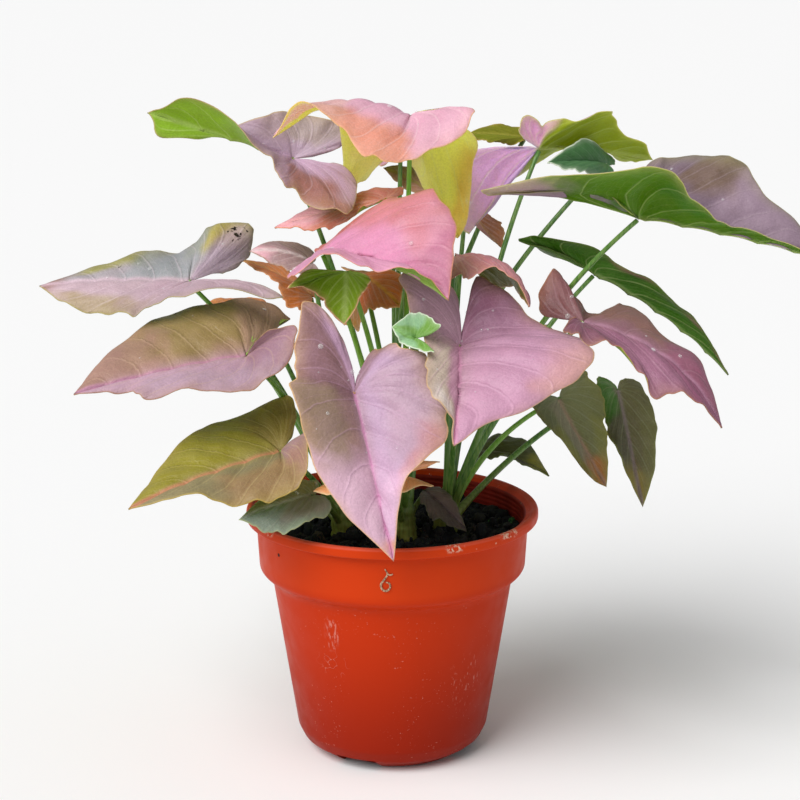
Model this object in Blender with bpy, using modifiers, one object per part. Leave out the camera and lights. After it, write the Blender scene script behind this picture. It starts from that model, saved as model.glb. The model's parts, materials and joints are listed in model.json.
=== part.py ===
"""Pink arrowhead plant in a plastic nursery pot.

Sizes are millimetres up to the point where a mesh is made, and metres from there on.
+Z is up, the origin is the middle of the pot's underside, and the plant is seen from -Y.
"""

import math
from collections import namedtuple

import bmesh
import bpy
import numpy as np

# Driving dimensions of the pot, in mm
POT_HEIGHT = 130.0
LIP_RADIUS = 76.0
LIP_DEPTH = 5.5
LIP_MOUTH = 72.6
BAND_TOP_RADIUS = 70.8
BAND_FOOT_RADIUS = 69.4
BAND_FOOT = 97.0
WALL_TOP_RADIUS = 62.6
WALL_FOOT_RADIUS = 50.2
WALL_FOOT = 12.0
FOOT_RADIUS = 38.0
WALL_THICK = 1.7
FLOOR_THICK = 2.4
RIB_COUNT = 4
RIB_PITCH = 2.6
RIB_RELIEF = 0.35
POT_STEPS = 40

# The drainage notches in the bottom edge
NOTCH_COUNT = 4
NOTCH_FIRST = -114
NOTCH_WIDTH = 22.0
NOTCH_HEIGHT = 6.6
NOTCH_INNER = 34.0
NOTCH_OUTER = 60.0

# The soil, and the holes that the stems stand in
SOIL_LEVEL = 116.0
SOIL_LUMP = 1.6
SOIL_RINGS = 5
GAP = 0.3
HOLE_FLOOR = 96.0

# The short stems: where each stands, and its radius in the soil and at its top
Stem = namedtuple("Stem", "x y radius top_radius top")
STEMS = {
    "left": Stem(-26, -6, 7.5, 4.5, 134),
    "middle": Stem(6, -14, 8.0, 5.0, 138),
    "right": Stem(28, 2, 8.0, 5.0, 136),
    "back": Stem(2, 30, 7.5, 4.5, 136),
}
STEM_SIDES = 10
PETIOLE_RADIUS = 1.9
PETIOLE_TIP = 1.1
PETIOLE_POINTS = 8

# The blades
THICK = 0.8
ROWS = 12
COLUMNS = 2
MARGIN_SPANS = 6
JOINT_KNOT = 2.6
WAVES = 2.5
WAVE_SHARE = 0.025
WAVE_SHIFT = 1.3
CAMBER = 0.10

# Half a blade: the points of its edge from the tip round to the joint. fore and back are points,
# or numbers that say how far the edge bulges out there. seat moves the end of the petiole farther
# under the blade, or is its whole step from the joint. bend moves the middle of the petiole's curve.
Half = namedtuple("Half", "fore wide back lobe inner", defaults=[None])
Leaf = namedtuple("Leaf", "stem colour joint tip arch left right seat bend wave", defaults=[0, (0, 0, 0), 1])

LEAVES = {
    "spot": Leaf(
        "left", "B9A6B4", (-103, 0, 248), (-181, 10, 244), 3,
        Half((-162, -8, 236), (-132, -22, 236), (-111, -22, 241), (-59, -26, 249)),
        Half((-144, 18, 255), (-111, 26, 260), (-93, 30, 272), (-72, 30, 270), (-79, 16, 254)),
        wave=1.3,
    ),
    "olive_mid": Leaf(
        "left", "AE8E86", (-72, -35, 217), (-153, -65, 205), 3,
        Half(0.0, (-111, -66, 205), (-68, -64, 207), (-45, -50, 232), (-63, -44, 230)),
        Half(0.32, (-105, -5, 235), (-75, 2, 239), (-52, 5, 229), (-67, -12, 228)),
        seat=0.1, bend=(-4, 12, 8),
    ),
    "olive_low": Leaf(
        "left", "A79A4A", (-55, -50, 172), (-125, -90, 155), 4,
        Half((-96, -88, 160), (-67, -88, 157), (-44, -80, 165), (-40, -60, 185)),
        Half(0.12, (-97, -38, 179), (-74, -25, 186), (-52, -20, 192)),
    ),
    "grey_low": Leaf(
        "left", "8E9A86", (-40, -45, 148), (-73, -84, 148), 2,
        Half(0.1, (-53, -80, 140), 0.15, (-30, -60, 146)),
        Half(0.1, (-56, -52, 155), 0.1, (-37, -35, 153)),
    ),
    "mauve_top": Leaf(
        "middle", "B7A0BC", (-52, 36, 306), (-126, 35, 330), 0,
        Half((-100, 18, 341), (-65, 8, 312), (-52, -5, 298), (-24, -8, 281), (-19, 14, 298)),
        Half((-111, 34, 316), (-70, 42, 326), (-50, 46, 330), (-28, 46, 322), (-28, 38, 311)),
        bend=(-8, 24, 0), wave=1.3,
    ),
    "coral": Leaf(
        "middle", "D5817C", (-4, 11, 288), (-60, 11, 274), 2,
        Half(0.1, (-35, 2, 275), (-21, 4, 279), (-11, 6, 287)),
        Half(0.1, (-32, 26, 287), 0.15, (5, 22, 293)),
        bend=(20, 0, 4),
    ),
    "crest": Leaf(
        "middle", "E7AFC0", (9, 8, 331), (-59, -8, 322), 28,
        Half((-39, -16, 337), (-16, -28, 317), (10, -26, 312), (41, -12, 336), (24, 0, 335)),
        Half((-30, 18, 332), (-22, 32, 291), (4, 36, 305), (34, 14, 267), (43, 8, 318)),
        seat=3.3, bend=(0, 4, 0),
    ),
    "front": Leaf(
        "middle", "C99CC0", (-18, -65, 205), (1, -100, 132), 4,
        Half((6, -96, 168), (27, -84, 193), (19, -70, 220), (2, -58, 228)),
        Half((-29, -94, 164), (-45, -80, 206), (-45, -68, 223), (-38, -55, 246), (-22, -58, 228)),
    ),
    "dome": Leaf(
        "middle", "E08AA8", (-34, -25, 267), (27, -75, 253), 12,
        Half((30, -58, 279), (22, -35, 299), (0, -12, 292), (-28, -6, 273)),
        Half((15, -76, 265), (-2, -76, 268), (-29, -66, 271), (-50, -54, 259)),
        bend=(-4, 0, 0),
    ),
    "rose_right": Leaf(
        "right", "D9A3BF", (33, -55, 226), (29, -105, 190), 6,
        Half((65, -94, 206), (93, -78, 228), (71, -52, 238), (45, -38, 257), (38, -42, 245)),
        Half((24, -98, 207), (15, -84, 217), (16, -60, 231), (4, -50, 260), (29, -48, 253)),
        bend=(4, 4, 0),
    ),
    "rose_small": Leaf(
        "right", "C98390", (32, -5, 262), (66, -62, 247), 16,
        Half((61, -44, 249), (55, -2, 244), (47, 8, 246), (38, 14, 256)),
        Half((58, -58, 260), (45, -54, 263), 0.1, (27, -34, 256)),
        seat=0.2,
    ),
    "lilac_long": Leaf(
        "right", "B27C93", (95, -25, 232), (163, -45, 183), 22,
        Half((150, -24, 218), (122, 0, 236), (100, -8, 232), (83, -5, 257), (73, -14, 236)),
        Half((145, -55, 200), (128, -55, 207), (106, -48, 223), (88, -42, 230)),
        seat=0.5, wave=1.6,
    ),
    "wing": Leaf(
        "right", "8F9A5C", (122, -15, 283), (217, -25, 262), 3,
        Half((191, -5, 292), (175, 10, 308), (159, 20, 311), (132, 20, 306)),
        Half((176, -28, 280), (149, -36, 288), (124, -48, 315), (47, -42, 299), (102, -28, 295)),
        bend=(0, 16, 0), wave=1.3,
    ),
    "top_right": Leaf(
        "right", "A98FA5", (76, 40, 311), (141, 85, 300), 3,
        Half((126, 82, 298), (105, 74, 313), (61, 38, 293), (41, 32, 271), (37, 34, 307)),
        Half((128, 66, 315), (112, 52, 329), (90, 42, 326), (70, 38, 328), (65, 38, 320)),
        seat=(1.0, -1.5, -0.9), wave=1.3,
    ),
    "green_long": Leaf(
        "right", "3D6120", (107, 45, 244), (182, 55, 187), 8,
        Half(0.1, (143, 72, 228), 0.1, (74, 72, 258)),
        Half((167, 46, 210), (143, 38, 236), (107, 30, 260), (66, 30, 266), (88, 36, 256)),
        seat=0.1,
    ),
    "dark_one": Leaf(
        "right", "6F6E52", (88, 25, 181), (112, 5, 138), 3,
        Half(0.1, (111, 12, 170), 0.2, (102, 30, 195)),
        Half((103, 8, 143), (89, 18, 160), (78, 25, 170), (73, 30, 178)),
        bend=(0, 32, 0),
    ),
    "dark_two": Leaf(
        "right", "5E6048", (121, 45, 181), (135, 35, 118), 3,
        Half((140, 36, 136), (142, 40, 158), (139, 48, 174), (131, 54, 184)),
        Half(0.1, (117, 38, 158), 0.1, (110, 52, 185)),
        seat=0.5, bend=(20, 50, 0),
    ),
    "low_back": Leaf(
        "right", "4A4A2A", (48, 45, 147), (86, 55, 130), 5,
        Half(0.1, (73, 62, 148), 0.1, (57, 65, 151)),
        Half(0.1, (64, 42, 144), 0.1, (46, 35, 147)),
    ),
    "soil_leaf": Leaf(
        "middle", "4B3F45", (17, -5, 139), (38, -30, 125), 2,
        Half(0.1, (31, -15, 138), 0.1, (24, 0, 140)),
        Half(0.1, (22, -30, 131), 0.1, (14, -15, 137)),
    ),
    "amber": Leaf(
        "middle", "B9743A", (-15, 10, 249), (4, -20, 239), 3,
        Half(0.1, (4, 10, 249), 0.1, (-26, 20, 252)),
        Half(0.1, (-10, -18, 238), 0.1, (-21, -5, 225), (-33, 2, 238)),
        seat=0.5,
    ),
    "mint": Leaf(
        "middle", "8CC56A", (11, -57, 231), (0, -60, 237), 2,
        Half(0.1, (5, -62, 229), 0.1, (20, -77, 228)),
        Half(0.1, (11, -59, 244), 0.1, (23, -73, 240)),
    ),
    "rust": Leaf(
        "right", "A8744F", (40, 54, 281), (58, 42, 258), 4,
        Half(0.1, (57, 40, 271), 0.1, (46, 47, 280)),
        Half(0.1, (44, 50, 269), 0.1, (36, 54, 282)),
        seat=1.1, bend=(0, 12, 0),
    ),
    "olive_back": Leaf(
        "back", "8A8A3C", (17, 62, 287), (-5, 80, 296), 2,
        Half(0.1, (7, 60, 287), 0.1, (22, 55, 282)),
        Half(0.1, (10, 80, 297), 0.1, (22, 70, 301)),
        bend=(-8, -16, 12),
    ),
    "apricot_low": Leaf(
        "middle", "C9793A", (-3, -53, 161), (-38, -70, 158), 4,
        Half(0.1, (-20, -72, 155), 0.1, (20, -62, 159)),
        Half(0.1, (-21, -52, 163), 0.1, (23, -44, 165)),
    ),
    "mauve_thin": Leaf(
        "left", "9C8086", (-41, 15, 255), (-73, 10, 262), 8,
        Half(0.0, (-54, 2, 254), 0.1, (-38, 2, 249)),
        Half(0.2, (-58, 20, 266), 0.1, (-42, 28, 260)),
    ),
    "orange_back": Leaf(
        "left", "D48A45", (-42, 30, 235), (-79, 42, 252), 3,
        Half(0.1, (-61, 22, 244), 0.1, (-49, 20, 228)),
        Half(0.1, (-61, 48, 248), 0.1, (-37, 42, 231)),
        seat=0.7,
    ),
    "orange_far": Leaf(
        "left", "E0A060", (-69, 40, 221), (-107, 45, 224), 3,
        Half(0.1, (-88, 25, 218), 0.1, (-64, 25, 215)),
        Half(0.1, (-90, 55, 229), 0.1, (-69, 58, 227)),
    ),
    "teal_back": Leaf(
        "back", "2F6038", (113, 55, 301), (80, 30, 305), 3,
        Half(0.1, (96, 25, 301), 0.1, (115, 42, 295)),
        Half(0.2, (102, 48, 315), 0.1, (118, 66, 302)),
    ),
    "back_top": Leaf(
        "back", "C48FA8", (4, 60, 308), (-8, 132, 305), 10,
        Half(0.1, (-17, 85, 305), 0.1, (-8, 50, 301)),
        Half(0.1, (19, 85, 313), 0.1, (20, 50, 304)),
        seat=0.4,
    ),
    "back_mid": Leaf(
        "back", "B88C9C", (0, 62, 259), (-5, 150, 232), 10,
        Half(0.1, (-24, 90, 249), 0.1, (-21, 50, 261)),
        Half(0.1, (21, 90, 255), 0.1, (23, 50, 261)),
    ),
    "back_left": Leaf(
        "left", "A08A78", (-78, 62, 205), (-123, 130, 175), 8,
        Half(0.1, (-111, 75, 207), 0.1, (-87, 40, 221)),
        Half(0.1, (-74, 110, 187), 0.1, (-56, 70, 206)),
    ),
    "back_right": Leaf(
        "back", "AE8598", (58, 62, 205), (91, 140, 181), 8,
        Half(0.1, (55, 110, 189), 0.1, (38, 75, 205)),
        Half(0.1, (93, 85, 200), 0.1, (79, 45, 216)),
    ),
    "back_low": Leaf(
        "back", "8C8A52", (1, 52, 162), (-8, 125, 126), 8,
        Half(0.1, (-24, 80, 149), 0.1, (-22, 45, 167)),
        Half(0.1, (22, 80, 155), 0.1, (21, 45, 164)),
    ),
    "back_side": Leaf(
        "left", "8F8C50", (-70, 40, 146), (-111, 105, 124), 6,
        Half(0.1, (-105, 55, 150), 0.1, (-80, 22, 165)),
        Half(0.1, (-66, 85, 130), 0.1, (-53, 50, 146)),
    ),
    "fold": Leaf(
        "middle", "8FA53A", (-22, -38, 260), (-23, -48, 235), 2,
        Half((-31, -46, 243), (-34, -46, 248), (-43, -44, 254), (-50, -42, 253), (-40, -37, 261)),
        Half(0.1, (-15, -46, 249), 0.1, (-11, -42, 258)),
        seat=(0, 1.9, 0.3),
    ),
    "olive_strip": Leaf(
        "back", "8A8A3C", (70, 62, 314), (39, 52, 317), 2,
        Half(0.1, (51, 50, 313), 0.1, (67, 58, 312)),
        Half(0.1, (53, 62, 321), 0.1, (70, 66, 319)),
        bend=(0, 4, 0),
    ),
}

MM = 0.001


# Scene, collections and materials


def clear_scene():
    for old in list(bpy.data.objects):
        bpy.data.objects.remove(old, do_unlink=True)


def collection(name, hidden=False):
    group = bpy.data.collections.new(name)
    bpy.context.scene.collection.children.link(group)
    group.hide_render = hidden
    return group


def linear(hex_colour):
    """An sRGB hex colour as linear red, green and blue."""
    parts = [int(hex_colour[i : i + 2], 16) / 255 for i in (0, 2, 4)]
    return [c / 12.92 if c <= 0.04045 else ((c + 0.055) / 1.055) ** 2.4 for c in parts]


def material(name, hex_colour, roughness):
    finish = bpy.data.materials.new(name)
    finish.use_nodes = True
    shader = finish.node_tree.nodes["Principled BSDF"]
    shader.inputs["Base Color"].default_value = (*linear(hex_colour), 1)
    shader.inputs["Roughness"].default_value = roughness
    shader.inputs["Metallic"].default_value = 0
    return finish


def add_object(name, mesh, group, finish=None):
    piece = bpy.data.objects.new(name, mesh)
    group.objects.link(piece)
    if finish:
        mesh.materials.clear()
        mesh.materials.append(finish)
    return piece


def evaluated_mesh(piece):
    """The object's mesh with its modifiers applied."""
    bpy.context.view_layer.update()
    graph = bpy.context.evaluated_depsgraph_get()
    return bpy.data.meshes.new_from_object(piece.evaluated_get(graph))


def turned_mesh(name, profile, steps):
    """A closed profile of (radius, height) in mm, turned about the Z axis."""
    form = bmesh.new()
    points = [form.verts.new((radius * MM, 0, height * MM)) for radius, height in profile]
    for first, second in zip(points, points[1:]):
        form.edges.new((first, second))
    mesh = bpy.data.meshes.new(name)
    form.to_mesh(mesh)
    form.free()
    turned = add_object(name + "_profile", mesh, bpy.context.scene.collection)
    screw = turned.modifiers.new("Turn", "SCREW")
    screw.axis = "Z"
    screw.steps = steps
    screw.render_steps = steps
    screw.use_merge_vertices = True
    screw.merge_threshold = 0.00001
    result = evaluated_mesh(turned)
    bpy.data.objects.remove(turned, do_unlink=True)
    result.name = name
    return result


# The pot


def pot_profile():
    """Down the outside from the lip, across the foot, and up the inside past the fine ribs."""
    lip_foot = POT_HEIGHT - LIP_DEPTH
    outside = [
        (LIP_MOUTH + 0.6, POT_HEIGHT),
        (LIP_RADIUS - 0.9, POT_HEIGHT),
        (LIP_RADIUS, POT_HEIGHT - 1.2),
        (LIP_RADIUS, lip_foot + 0.6),
        (LIP_RADIUS - 0.8, lip_foot),
        (BAND_TOP_RADIUS + 0.6, lip_foot),
        (BAND_TOP_RADIUS, lip_foot - 1.2),
        (BAND_FOOT_RADIUS, BAND_FOOT + 2.2),
        (BAND_FOOT_RADIUS - 1.6, BAND_FOOT),
        (WALL_TOP_RADIUS + 1.4, BAND_FOOT - 2.4),
        (WALL_TOP_RADIUS, BAND_FOOT - 5.5),
        (WALL_FOOT_RADIUS, WALL_FOOT),
        (WALL_FOOT_RADIUS - 3.0, WALL_FOOT - 6.0),
        (FOOT_RADIUS + 2.0, 1.2),
        (FOOT_RADIUS, 0),
        (0, 0),
    ]
    inside = [
        (0, FLOOR_THICK),
        (FOOT_RADIUS, FLOOR_THICK),
        (WALL_FOOT_RADIUS - 3.0 - WALL_THICK, WALL_FOOT - 5.0),
        (WALL_FOOT_RADIUS - WALL_THICK, WALL_FOOT + 0.6),
        (WALL_TOP_RADIUS - WALL_THICK, BAND_FOOT - 4.5),
        (BAND_FOOT_RADIUS - WALL_THICK, BAND_FOOT + 2.6),
    ]
    rib_foot = lip_foot - (RIB_COUNT - 1) * RIB_PITCH
    mouth = BAND_TOP_RADIUS - WALL_THICK
    inside.append((mouth, rib_foot))
    for rib in range(RIB_COUNT):
        height = rib_foot + (rib + 0.5) * RIB_PITCH
        inside.append((mouth - RIB_RELIEF, height))
        inside.append((mouth, height + RIB_PITCH / 2))
    inside.append((LIP_MOUTH, POT_HEIGHT - 1.0))
    return outside + inside + [outside[0]]


def notch_cutters(group):
    """Blocks that cut the drainage notches through the bottom edge."""
    length = NOTCH_OUTER - NOTCH_INNER
    for number in range(NOTCH_COUNT):
        angle = math.radians(NOTCH_FIRST + number * 360 / NOTCH_COUNT)
        form = bmesh.new()
        bmesh.ops.create_cube(form, size=1)
        for point in form.verts:
            point.co.x = (point.co.x * length + NOTCH_INNER + length / 2) * MM
            point.co.y *= NOTCH_WIDTH * MM
            point.co.z = (point.co.z * 2 * NOTCH_HEIGHT) * MM
        mesh = bpy.data.meshes.new(f"notch_{number}")
        form.to_mesh(mesh)
        form.free()
        cutter = add_object(f"notch_{number}", mesh, group)
        cutter.rotation_euler.z = angle
        cutter.hide_render = True
        cutter.display_type = "WIRE"


def cut_by(piece, group):
    """The piece with every object of the group cut from it."""
    cut = piece.modifiers.new("Cut", "BOOLEAN")
    cut.operation = "DIFFERENCE"
    cut.operand_type = "COLLECTION"
    cut.collection = group


def make_pot(group, cutters):
    mesh = turned_mesh("pot", pot_profile(), POT_STEPS)
    pot = add_object("pot", mesh, group, material("orange_polypropylene", "D2401B", 0.35))
    pot.data.shade_smooth()
    pot.data.set_sharp_from_angle(angle=math.radians(30))
    notch_cutters(cutters)
    cut_by(pot, cutters)


# The soil


def soil_lumps(x, y):
    """Height of the lumps at a place on the soil, as three crossed waves, in mm."""
    first = np.sin(x * 0.23 + 1.1) * np.cos(y * 0.19 - 0.4)
    second = np.sin(x * 0.41 - y * 0.33 + 2.0)
    third = np.cos(x * 0.11 + y * 0.52 + 0.7)
    return SOIL_LUMP * (0.5 * first + 0.3 * second + 0.2 * third)


def soil_profile():
    """Rings across the top, then down inside the pot and back under to the axis."""
    edge = BAND_TOP_RADIUS - WALL_THICK - GAP - 0.3
    top = [(edge * ring / SOIL_RINGS, SOIL_LEVEL) for ring in range(SOIL_RINGS + 1)]
    down = [
        (BAND_FOOT_RADIUS - WALL_THICK - GAP, BAND_FOOT + 3.0),
        (WALL_TOP_RADIUS - WALL_THICK - GAP - 0.2, BAND_FOOT - 4.6),
        (WALL_FOOT_RADIUS - WALL_THICK - GAP - 0.2, WALL_FOOT + 0.6),
        (WALL_FOOT_RADIUS - 3.4 - WALL_THICK - GAP, WALL_FOOT - 4.4),
        (FOOT_RADIUS - GAP, FLOOR_THICK + GAP),
        (0, FLOOR_THICK + GAP),
    ]
    return top + down


def hole_cutters(group):
    """Upright pegs, a little wider than the stems that stand in their holes."""
    for name, stem in STEMS.items():
        form = bmesh.new()
        top = SOIL_LEVEL + 3 * SOIL_LUMP
        radius = (stem.radius + GAP) * MM
        bmesh.ops.create_cone(
            form,
            cap_ends=True,
            segments=STEM_SIDES,
            radius1=radius,
            radius2=radius,
            depth=(top - HOLE_FLOOR) * MM,
        )
        mesh = bpy.data.meshes.new("hole_" + name)
        form.to_mesh(mesh)
        form.free()
        cutter = add_object("hole_" + name, mesh, group)
        cutter.location = (stem.x * MM, stem.y * MM, (top + HOLE_FLOOR) / 2 * MM)
        cutter.hide_render = True
        cutter.display_type = "WIRE"


def make_soil(group, cutters):
    mesh = turned_mesh("soil", soil_profile(), POT_STEPS)
    edge = (BAND_TOP_RADIUS - WALL_THICK - 2) * MM
    for point in mesh.vertices:
        if point.co.z > (SOIL_LEVEL - 0.5) * MM and math.hypot(point.co.x, point.co.y) < edge:
            point.co.z += float(soil_lumps(point.co.x / MM, point.co.y / MM)) * MM
    add_object("soil", mesh, group, material("potting_soil", "1B1817", 0.95))
    hole_cutters(cutters)
    cut_by(group.objects["soil"], cutters)


# The blades


def unit(vector):
    return vector / np.linalg.norm(vector)


def point_of(place):
    return np.asarray(place, float)


def half_normal(leaf, half, side):
    """The way that the upper face of one half looks. side is 1 on the left and -1 on the right."""
    joint = point_of(leaf.joint)
    return side * unit(np.cross(point_of(leaf.tip) - joint, point_of(half.wide) - joint))


def blade_up(leaf):
    return unit(half_normal(leaf, leaf.left, 1) + half_normal(leaf, leaf.right, -1))


def margin_points(leaf, half, rib_middle):
    """Seven points round half the edge: tip, fore, widest, back, end of the lobe, inner, joint."""
    joint, tip = point_of(leaf.joint), point_of(leaf.tip)
    wide, lobe = point_of(half.wide), point_of(half.lobe)
    fore, back, inner = half.fore, half.back, half.inner
    if np.isscalar(fore):
        fore = (tip + wide) / 2 + fore * (wide - rib_middle)
    if np.isscalar(back):
        middle = (wide + lobe) / 2
        back = middle + back * (middle - joint)
    if inner is None:
        inner = (joint + lobe) / 2 - 0.12 * (wide - joint)
    return np.array([tip, fore, wide, back, lobe, inner, joint], float)


def smooth_line(points, knots):
    """A Catmull-Rom curve through the points, read at knots counted from the first point."""
    before = 2 * points[0] - points[1]
    after = 2 * points[-1] - points[-2]
    held = np.array([before, *points, after])
    span = np.minimum(knots.astype(int), len(points) - 2)
    t = (knots - span)[:, None]
    a, b, c, d = (held[span + n] for n in range(4))
    bend = (c - a) * t + (2 * a - 5 * b + 4 * c - d) * t**2 + (3 * b - a - 3 * c + d) * t**3
    return b + bend / 2


def blade_grid(leaf, phase, rows, columns):
    """Points of the blade's middle surface, one row for each vein and one column for each step across.

    The midrib is a parabola from the tip to the joint. A row runs from it to the edge, and the rows
    past the joint fan out from the joint into the lobes. Across a row the blade is cambered, and a
    wave grows towards the edge.
    """
    joint, tip = point_of(leaf.joint), point_of(leaf.tip)
    crown = (joint + tip) / 2 + leaf.arch * blade_up(leaf)
    knots = np.linspace(0, MARGIN_SPANS, rows + 1)
    along = np.minimum(knots / JOINT_KNOT, 1)[:, None]
    rib = tip * (1 - along) ** 2 + 2 * crown * along * (1 - along) + joint * along**2
    rib_middle = tip / 4 + crown / 2 + joint / 4
    across = np.linspace(0, 1, columns + 1)[None, :, None]
    wave_height = leaf.wave * WAVE_SHARE * np.linalg.norm(tip - joint) * np.sin(np.pi * knots / MARGIN_SPANS)
    grid = np.zeros((rows + 1, 2 * columns + 1, 3))
    for side, half in ((1, leaf.left), (-1, leaf.right)):
        span = smooth_line(margin_points(leaf, half, rib_middle), knots) - rib
        width = np.linalg.norm(span, axis=1)[:, None, None]
        turn = 2 * np.pi * WAVES * knots / MARGIN_SPANS + phase - WAVE_SHIFT * (side < 0)
        lift = CAMBER * width * 2 * across * (1 - across)
        lift = lift + (wave_height * np.sin(turn))[:, None, None] * across**2
        sheet = rib[:, None] + span[:, None] * across + half_normal(leaf, half, side) * lift
        for column in range(columns + 1):
            grid[:, columns + side * column] = sheet[:, column]
    return grid


def sheet_mesh(name, grid):
    """The grid as triangles, its pinched rows merged, facing the way that the blade's upper side looks."""
    rows, columns = grid.shape[:2]
    number = np.arange(rows * columns).reshape(rows, columns)
    form = bmesh.new()
    points = [form.verts.new(place) for place in grid.reshape(-1, 3) * MM]
    for row in range(rows - 1):
        for column in range(columns - 1):
            a, b = number[row, column], number[row, column + 1]
            c, d = number[row + 1, column + 1], number[row + 1, column]
            form.faces.new([points[i] for i in (a, b, c)])
            form.faces.new([points[i] for i in (a, c, d)])
    bmesh.ops.remove_doubles(form, verts=form.verts, dist=0.05 * MM)
    mesh = bpy.data.meshes.new(name)
    form.to_mesh(mesh)
    form.free()
    return mesh


def make_blade(number, name, leaf, group):
    phase = number * math.radians(137.5)
    mesh = sheet_mesh("blade_" + name, blade_grid(leaf, phase, ROWS, COLUMNS))
    finish = material("leaf_" + name, leaf.colour, 0.5)
    blade = add_object("blade_" + name, mesh, group, finish)
    wall = blade.modifiers.new("Thickness", "SOLIDIFY")
    wall.thickness = THICK * MM
    wall.offset = 0
    blade.data.shade_smooth()


# The stems


def petiole_path(leaf):
    """A parabola from inside the short stem to just under the blade at its joint, and its radii."""
    stem = STEMS[leaf.stem]
    foot = np.array([stem.x, stem.y, SOIL_LEVEL + 2.0])
    up = blade_up(leaf)
    rise = point_of(leaf.joint) - foot
    knee = foot + rise * (0.3, 0.3, 0.6) + point_of(leaf.bend)
    lean = unit(point_of(leaf.joint) - knee)
    tilt = math.sqrt(max(0.0, 1 - float(lean @ up) ** 2))
    if np.isscalar(leaf.seat):
        step = -up * (THICK / 2 + GAP + PETIOLE_TIP * tilt + leaf.seat)
    else:
        step = point_of(leaf.seat)
    end = point_of(leaf.joint) + step
    t = np.linspace(0, 1, PETIOLE_POINTS)[:, None]
    path = foot * (1 - t) ** 2 + 2 * knee * t * (1 - t) + end * t**2
    radii = PETIOLE_RADIUS + (PETIOLE_TIP - PETIOLE_RADIUS) * t[:, 0]
    return path, radii


def tube_mesh(name, path, radii):
    """A round tube along the path, closed at both ends, as a mesh."""
    line = bpy.data.curves.new(name, "CURVE")
    line.dimensions = "3D"
    line.bevel_depth = MM
    line.bevel_resolution = 1
    line.use_fill_caps = True
    spline = line.splines.new("POLY")
    spline.points.add(len(path) - 1)
    for point, place, radius in zip(spline.points, path, radii):
        point.co = (*(place * MM), 1)
        point.radius = radius
    tube = add_object(name, line, bpy.context.scene.collection)
    mesh = evaluated_mesh(tube)
    bpy.data.objects.remove(tube, do_unlink=True)
    form = bmesh.new()
    form.from_mesh(mesh)
    bmesh.ops.remove_doubles(form, verts=form.verts, dist=0.01 * MM)
    form.to_mesh(mesh)
    form.free()
    return mesh


def short_stem_mesh(stem):
    form = bmesh.new()
    foot = HOLE_FLOOR + GAP
    bmesh.ops.create_cone(
        form,
        cap_ends=True,
        segments=STEM_SIDES,
        radius1=stem.radius * MM,
        radius2=stem.top_radius * MM,
        depth=(stem.top - foot) * MM,
    )
    for point in form.verts:
        point.co.x += stem.x * MM
        point.co.y += stem.y * MM
        point.co.z += (stem.top + foot) / 2 * MM
    mesh = bpy.data.meshes.new("short_stem")
    form.to_mesh(mesh)
    form.free()
    return mesh


def make_stem(name, group):
    """The short stem with its petioles, joined in one solid."""
    finish = material("petiole_" + name, "4E8A2E", 0.45)
    stem = add_object("stem_" + name, short_stem_mesh(STEMS[name]), group, finish)
    petioles = collection("petioles_" + name)
    for leaf_name, leaf in LEAVES.items():
        if leaf.stem == name:
            tube = tube_mesh("petiole_" + leaf_name, *petiole_path(leaf))
            add_object("petiole_" + leaf_name, tube, petioles)
    join = stem.modifiers.new("Join", "BOOLEAN")
    join.operation = "UNION"
    join.operand_type = "COLLECTION"
    join.collection = petioles
    joined = evaluated_mesh(stem)
    stem.modifiers.clear()
    stem.data = joined
    joined.materials.clear()
    joined.materials.append(finish)
    for petiole in list(petioles.objects):
        bpy.data.objects.remove(petiole, do_unlink=True)
    bpy.data.collections.remove(petioles)
    stem.data.shade_smooth()
    stem.data.set_sharp_from_angle(angle=math.radians(50))


def main():
    clear_scene()
    plant = collection("arrowhead_plant")
    notches = collection("notch_cutters")
    holes = collection("hole_cutters")
    make_pot(plant, notches)
    make_soil(plant, holes)
    for name in STEMS:
        make_stem(name, plant)
    for number, (name, leaf) in enumerate(LEAVES.items()):
        make_blade(number, name, leaf, plant)


main()
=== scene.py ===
"""The looks of a pink arrowhead plant in a plastic nursery pot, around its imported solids.

Lengths are millimetres until a mesh is made. +Z is up and the camera looks along +Y.
"""

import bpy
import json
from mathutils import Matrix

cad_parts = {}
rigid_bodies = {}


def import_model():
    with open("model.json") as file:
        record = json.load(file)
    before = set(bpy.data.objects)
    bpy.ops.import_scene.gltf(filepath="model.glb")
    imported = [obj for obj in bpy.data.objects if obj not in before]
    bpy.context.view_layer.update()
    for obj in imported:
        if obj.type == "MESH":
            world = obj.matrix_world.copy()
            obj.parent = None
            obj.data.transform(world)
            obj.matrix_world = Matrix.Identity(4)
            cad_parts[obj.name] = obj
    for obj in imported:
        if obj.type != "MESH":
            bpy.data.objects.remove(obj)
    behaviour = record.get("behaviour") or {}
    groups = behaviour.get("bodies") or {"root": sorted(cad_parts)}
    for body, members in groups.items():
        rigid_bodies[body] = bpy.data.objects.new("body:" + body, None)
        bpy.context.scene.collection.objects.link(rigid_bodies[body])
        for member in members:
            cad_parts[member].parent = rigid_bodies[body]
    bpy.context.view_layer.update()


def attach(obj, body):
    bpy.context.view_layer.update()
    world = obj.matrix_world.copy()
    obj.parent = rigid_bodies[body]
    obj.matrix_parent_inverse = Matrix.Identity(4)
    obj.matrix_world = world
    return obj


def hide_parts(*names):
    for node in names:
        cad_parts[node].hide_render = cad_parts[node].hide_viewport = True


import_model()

import json
import math
from collections import namedtuple
from functools import partial

import bpy
import numpy as np

MM = 0.001
TURN = 2 * np.pi

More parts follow.
